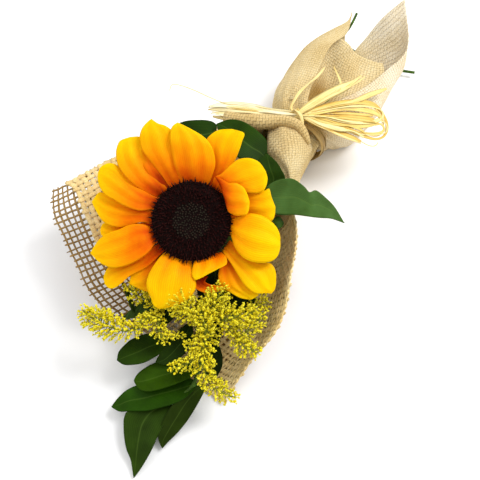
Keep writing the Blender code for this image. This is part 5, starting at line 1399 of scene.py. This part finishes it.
RUSCUS_STEMS = {
    "ruscus_front": {
        "stem": [
            (44, -164, 12, 0.9), (54, -147, 15, 1.2), (53, -131, 18, 1.4), (51, -105, 21, 1.6),
            (46, -58, 22, 1.8), (41, -10, 20, 1.9), (38, 40, 20, 1.9), (37.4, 72, 20.9, 1.9),
            (46, 102, 16, 1.9), (55, 134, 11, 1.9)],
        "twigs": [((51, -107, 21), (32, -126, 22)), ((50, -98, 21), (39, -112, 26)),
                  ((52, -128, 18), (53, -134, 19)), ((51, -105, 21), (52, -113, 20)),
                  ((54, -147, 15), (57, -142, 14))],
    },
    "ruscus_back": {
        "stem": [
            (4, 14, 58, 1), (14, 20, 52, 1.3), (19, 36, 42, 1.6), (20, 52, 32, 1.7), (22.3, 68, 23.4, 1.7),
            (23, 100, 22, 1.6), (21, 130, 26, 1.5), (20, 150, 33, 1.4), (23, 166, 38.5, 1.2),
            (28, 179, 45, 1.1), (29, 191, 51.5, 1.1)],
        "twigs": [((16, 22, 51), (26, 10, 56)), ((18, 26, 48), (39, -9, 58))],
    },
    "ruscus_side": {
        "stem": [
            (45, -18, 60, 1), (49, -8, 50, 1.2), (46, 20, 36, 1.4), (40.5, 46, 30.5, 1.5),
            (39, 68, 29.7, 1.5), (44, 100, 25, 1.5), (44, 122, 20, 1.5), (36, 152, 20, 1.4),
            (33.5, 171, 23.5, 1.3), (30.5, 180, 22, 1.3), (29.5, 187, 15, 1.3), (34, 192, 8, 1.3),
            (50, 189, 5.5, 1.3), (66, 190, 5, 1.3), (89, 196, 5, 1.2)],
        "twigs": [((48, -13, 54), (52, -21, 56))],
    },
}
# Leaves of the front spray that lie in the shade behind the goldenrod, given the darkest green as painted
# shade: foot, tip, width, roll and rise
SHADED_LEAVES = [
    ((41, -62, 37), (60, -98, 33), 24, 8, 2), ((34, -84, 33), (59, -126, 25), 20, -6, 2),
    ((16, -96, 35), (19, -126, 31), 17, 10, 1), ((46, -58, 39), (68, -90, 33), 20, -10, 2),
    ((28, -58, 33), (45, -101, 31), 27, 0, 1),
]


def ruscus(name, leaf_looks, stem_looks):
    """One leafy stem: its leaves with their short stalks, and the angled twigs that carry them."""
    kind = name.split("_")[1]
    leaves, stems = [], []
    for key, (tint, rows) in RUSCUS_LEAVES.items():
        if key.startswith(kind):
            leaves.append(blade(key, rows, on_table, LEAF_THICKNESS, leaf_shape, steps=44, cells=18,
                                crowd=1.25, tint=colour(tint)))
    # The shaded leaves get the darkest green: painted shade
    for leaf in SHADED_LEAVES if kind == "front" else []:
        leaves.append(blade("shaded_leaf", narrow_leaf(*leaf), on_table, LEAF_THICKNESS, leaf_shape,
                            steps=30, cells=12, tint=colour("#1B2E08")))
    green = colour("#4A6A22")
    stems.append(tube("stem", RUSCUS_STEMS[name]["stem"], sides=10, steps=8, tint=green))
    for start, end in RUSCUS_STEMS[name]["twigs"]:
        start, end = np.array(start), np.array(end)
        middle = (start + end) / 2 + (0, 0, 0.8)
        points = [(*start, 1.0), (*middle, 0.85), (*end, 0.8)]
        stems.append(tube("twig", points, sides=8, steps=5, tint=green))
    made = joined(name + "_leaves", leaves)
    finished(made, name + "_leaves", leaf_looks, "ruscus_leaf", name)
    finished(joined(name + "_stems", stems), name + "_stems", stem_looks, "ruscus_leaf", name)


# Goldenrod: a green stem to the plume's foot, then sprigs of (x, y, z, half width of the plume)

GOLDENROD = {
    "goldenrod_left": {
        "stem": [(14, -108, 32, 1.2), (16, -90, 28, 1.3), (18, -50, 18, 1.5), (21, 0, 15, 1.6),
                 (23, 40, 17, 1.6), (26.7, 68, 19.6, 1.6), (24, 94, 14, 1.6), (23, 120, 12, 1.6)],
        "leaves": [((15.5, -97, 29.3), (-9, -130, 27.5), 13, 10, 1),
                   ((-3, -121, 28.6), (-20, -108, 36), 7, 60, 1)],
        "sprigs": [
            [(13.8, -109.2, 32.6, 3), (11, -126, 36, 3.5), (5, -137, 38, 7), (-7, -141, 40, 11),
             (-21, -141, 39, 8), (-30, -139, 39, 4)],
            [(13, -113, 34, 3), (11, -124, 38, 6), (7, -130, 39, 4)],
            [(13, -113, 34, 3), (19, -125, 37, 7), (26, -130, 34, 5), (31, -125, 33, 3), (37, -123, 32, 2)],
            [(12.5, -111, 33.5, 3), (3, -112, 37, 6), (-6, -113, 39, 6), (-13, -110, 40, 3)],
        ],
    },
    "goldenrod_middle": {
        "stem": [(42, -104, 31, 1.2), (40, -84, 26, 1.3), (34, -50, 16, 1.5), (30, 0, 13, 1.6),
                 (28.5, 40, 16.5, 1.6), (31.9, 68, 18.5, 1.6), (38, 96, 13, 1.6), (43, 122, 9, 1.6)],
        "leaves": [],
        "sprigs": [
            [(42.1, -105.2, 31.6, 3), (32, -111, 38, 8), (24, -107, 41, 9), (18, -99, 41, 7)],
            [(42.5, -107, 33, 3), (46, -101, 40, 11), (44, -94, 42.5, 8)],
            [(42.1, -105.2, 31.6, 3), (50, -115, 34, 8), (53, -126, 35, 8), (58, -135, 33, 8),
             (65, -141, 28, 7), (76, -143, 25, 6), (85, -141, 22, 3)],
            [(54, -127, 34, 3), (49, -136, 32, 5), (43, -142, 29, 4), (38, -144, 27, 2)],
        ],
    },
    "goldenrod_right": {
        "stem": [(62, -92, 28, 1.2), (56, -74, 22, 1.3), (46, -40, 14, 1.5), (37, 0, 11, 1.6),
                 (32, 40, 12, 1.6),
                 (29.3, 68, 15.2, 1.6), (30, 84, 14, 1.6), (34, 102, 8, 1.6), (37, 122, 6, 1.6)],
        "leaves": [],
        "sprigs": [
            [(62.2, -92.8, 28.4, 3), (68, -108, 33, 6), (77, -112, 34.5, 7), (86, -111, 35, 4)],
            [(63, -95, 30, 3), (67, -85, 32, 5), (74, -76, 33, 5)],
            [(63, -96, 30, 3), (61, -103, 36, 6), (62, -110, 37, 4)],
        ],
    },
}
GOLDEN_TURN = 0.618
# More sprigs that fill the plumes out, given in the same way
FILLING_SPRIGS = {
    "goldenrod_left": [],
    "goldenrod_middle": [
        [(49, -110, 37, 3), (40, -109, 42, 8), (31, -107, 45, 10), (23, -106, 46, 8), (15, -104, 47, 4)],
        [(50, -107, 38, 4), (47, -99, 44, 9), (47, -92, 47, 8), (46, -85, 48, 4)],
        [(53, -107, 38, 4), (60, -101, 43, 9), (67, -95, 42, 7), (72, -89, 40, 4)],
        [(51, -118, 36, 4), (48, -113, 42, 9), (41, -107, 46, 9)],
        [(54, -125, 30, 3), (48, -126, 34, 6), (43, -129, 34, 4)],
    ],
    "goldenrod_right": [
        [(70, -112, 32, 3), (73, -103, 37, 7), (76, -94, 38, 6), (77, -85, 38, 3)],
    ],
}


def goldenrod_floret():
    """One open floret head: a green-gold cup, with short rays round a raised middle."""
    bpy.ops.mesh.primitive_cone_add(vertices=10, radius1=0.2 * MM, radius2=1.3 * MM, depth=1.3 * MM)
    bpy.ops.object.mode_set(mode="EDIT")
    model_edges(lambda p: p.z > 0)
    bpy.ops.mesh.inset(thickness=1.0 * MM)
    bpy.ops.transform.translate(value=(0, 0, 0.1 * MM))
    model_edges(lambda p: abs(p.z - 0.65) < 0.05 and p.xy.length > 1.0
                and round(math.degrees(math.atan2(p.x, p.y)) / 36) % 2 == 0)
    bpy.ops.transform.resize(value=(0.26, 0.26, 1), center_override=(0, 0, 0))
    bpy.ops.transform.translate(value=(0, 0, -0.3 * MM))
    bpy.ops.object.mode_set(mode="OBJECT")
    return bpy.context.object


def goldenrod_bud():
    """A closed, greenish floret head."""
    bpy.ops.mesh.primitive_uv_sphere_add(segments=6, ring_count=4, radius=0.75 * MM)
    bpy.ops.transform.resize(value=(1, 1, 1.5))
    bpy.ops.object.transform_apply(scale=True)
    return bpy.context.object


def narrow_leaf(base, tip, width, roll, rise):
    """Rows for a narrow pointed leaf from its foot to its tip."""
    base, tip = np.array(base, float), np.array(tip, float)
    along = unit(tip - base)
    side = unit(np.cross((0, 0, 1), along))
    up = np.cross(along, side)
    angle = math.radians(roll)
    side, up = (side * math.cos(angle) + up * math.sin(angle),
                up * math.cos(angle) - side * math.sin(angle))
    rows = []
    for t in (0.0, 0.12, 0.3, 0.5, 0.7, 0.87, 1.0):
        middle = base + (tip - base) * t + up * rise * math.sin(math.pi * t)
        half = 0.5 * width * math.sin(math.pi * min(t + 0.04, 1.0) ** 0.85) ** 0.8 + 0.02
        rows.append((*(middle + side * half), *(middle - side * half), -0.06 * width))
    return rows


def goldenrod(name, plume_looks, stem_looks):
    """One spray: stem, sprigs with short side branches, and floret heads set close along each branch."""
    draw = random.Random(f"{SEED}{name}")
    spray = GOLDENROD[name]
    stem_green, sprig_green = colour("#5E7A26"), colour("#A8B03A")
    stems = [tube("stalk", spray["stem"], sides=10, steps=6, tint=stem_green)]
    for leaf in spray["leaves"]:
        stems.append(blade("narrow_leaf", narrow_leaf(*leaf), on_table, LEAF_THICKNESS, leaf_shape,
                           steps=24, cells=8, tint=colour("#3E5A18")))
    copies = []
    for points in spray["sprigs"] + FILLING_SPRIGS[name]:
        path = smooth(points, 8)
        stems.append(tube("sprig", [(*p[:3], 0.65) for p in points], sides=6, steps=6, tint=sprig_green))
        length = np.linalg.norm(np.diff(path[:, :3], axis=0), axis=1).sum()
        path = evenly(path, max(4, round(length / 1.7)))
        along, level, up = ring_frames(path[:, :3])
        for k in range(len(path)):
            half_width = path[k, 3]
            for n in range(2 + round(half_width / 3.0)):
                turn = math.radians(-45 + 270 * ((GOLDEN_TURN * (k * 4 + n)) % 1.0))
                out = level[k] * math.cos(turn) + up[k] * math.sin(turn)
                out = unit(out + along[k] * draw.uniform(0.1, 0.8))
                reach = half_width * draw.uniform(0.7, 1.15)
                foot = path[k, :3]
                tip = foot + out * reach
                knee = foot + out * reach * 0.55 - along[k] * 0.08 * reach
                branch = smooth([(*foot, 0.3), (*knee, 0.26), (*tip, 0.2)], 4)
                if half_width > 4.5:
                    stems.append(tube("branch", branch[::2], sides=4, steps=1, tint=sprig_green))
                heads = max(2, round(reach / 1.2))
                for h in range(heads):
                    t = 1 - 0.72 * h / heads
                    spot = np.array([np.interp(t * (len(branch) - 1), np.arange(len(branch)), column)
                                     for column in branch[:, :3].T])
                    facing = out * draw.uniform(0.3, 1.0) + np.array((draw.uniform(-0.7, 0.7),
                                                                      draw.uniform(-0.7, 0.7), 0.75))
                    spot = spot + unit(facing) * draw.uniform(0.5, 1.1)
                    closed = draw.random() < 0.1 + 0.2 * (half_width < 4.2)
                    # Heads nearer a branch's foot, deeper in the cluster, get a darker mustard as painted
                    # shade; closed buds are darker and greener
                    tone = 0.12 + 0.42 * t * t + draw.uniform(-0.16, 0.24) - 0.2 * closed
                    size = draw.uniform(0.5, 0.95) if not closed else draw.uniform(0.6, 1.2)
                    matrix = aimed(on_table(spot), facing, size, draw.uniform(0, 6.28))
                    copies.append((int(closed), matrix, tone))
    plume = stamp(name + "_heads", [goldenrod_floret(), goldenrod_bud()], copies)
    finished(plume, name + "_heads", plume_looks, "goldenrod_floret", name + "_plume")
    finished(joined(name + "_stems", stems), name + "_stems", stem_looks, "green_stem", name + "_stem")


# The table and the light

TABLE_SIZE = 6.0
TABLE_DROP = 0.0002
ROOM_LIGHT = 0.8
# Each lamp: its place, its size and its power; both are aimed at the flower
LAMPS = (((0.45, 0.5, 0.9), 0.5, 9.0), ((-0.7, -0.4, 0.9), 0.8, 2.8))
LAMP_TARGET = Vector((0.0, 0.0, 0.04))


def set_stage():
    bpy.ops.object.select_all(action="DESELECT")
    bpy.ops.mesh.primitive_plane_add(size=TABLE_SIZE, location=(0, 0, -TABLE_DROP))
    table = bpy.context.object
    table.name = table.data.name = "table_top"
    table.data.materials.append(matt_board())
    world = bpy.data.worlds.new("white_room")
    world.use_nodes = True
    world.node_tree.nodes["Background"].inputs["Color"].default_value = (1.0, 1.0, 1.0, 1.0)
    world.node_tree.nodes["Background"].inputs["Strength"].default_value = ROOM_LIGHT
    bpy.context.scene.world = world
    for place, size, power in LAMPS:
        bpy.ops.object.light_add(type="AREA", location=place)
        lamp = bpy.context.object
        lamp.data.size = size
        lamp.data.energy = power
        lamp.rotation_euler = (Vector(place) - LAMP_TARGET).to_track_quat("Z", "Y").to_euler()
    bpy.context.scene.view_settings.view_transform = "Standard"


def main():
    bpy.ops.object.select_all(action="DESELECT")
    set_camera()
    raffia = raffia_strip()
    raffia_bow(raffia)
    raffia_knot(raffia)
    raffia_binding(raffia)
    burlap_wrap(jute_yarn())
    sunflower_petals(petal_tissue())
    sunflower_disc(floret_tissue())
    leaf, stem, heads = waxy_leaf(), fresh_stem(), goldenrod_tissue()
    green_calyx(stem)
    for name in RUSCUS_STEMS:
        ruscus(name, leaf, stem)
    for name in GOLDENROD:
        goldenrod(name, heads, stem)
    set_stage()


main()
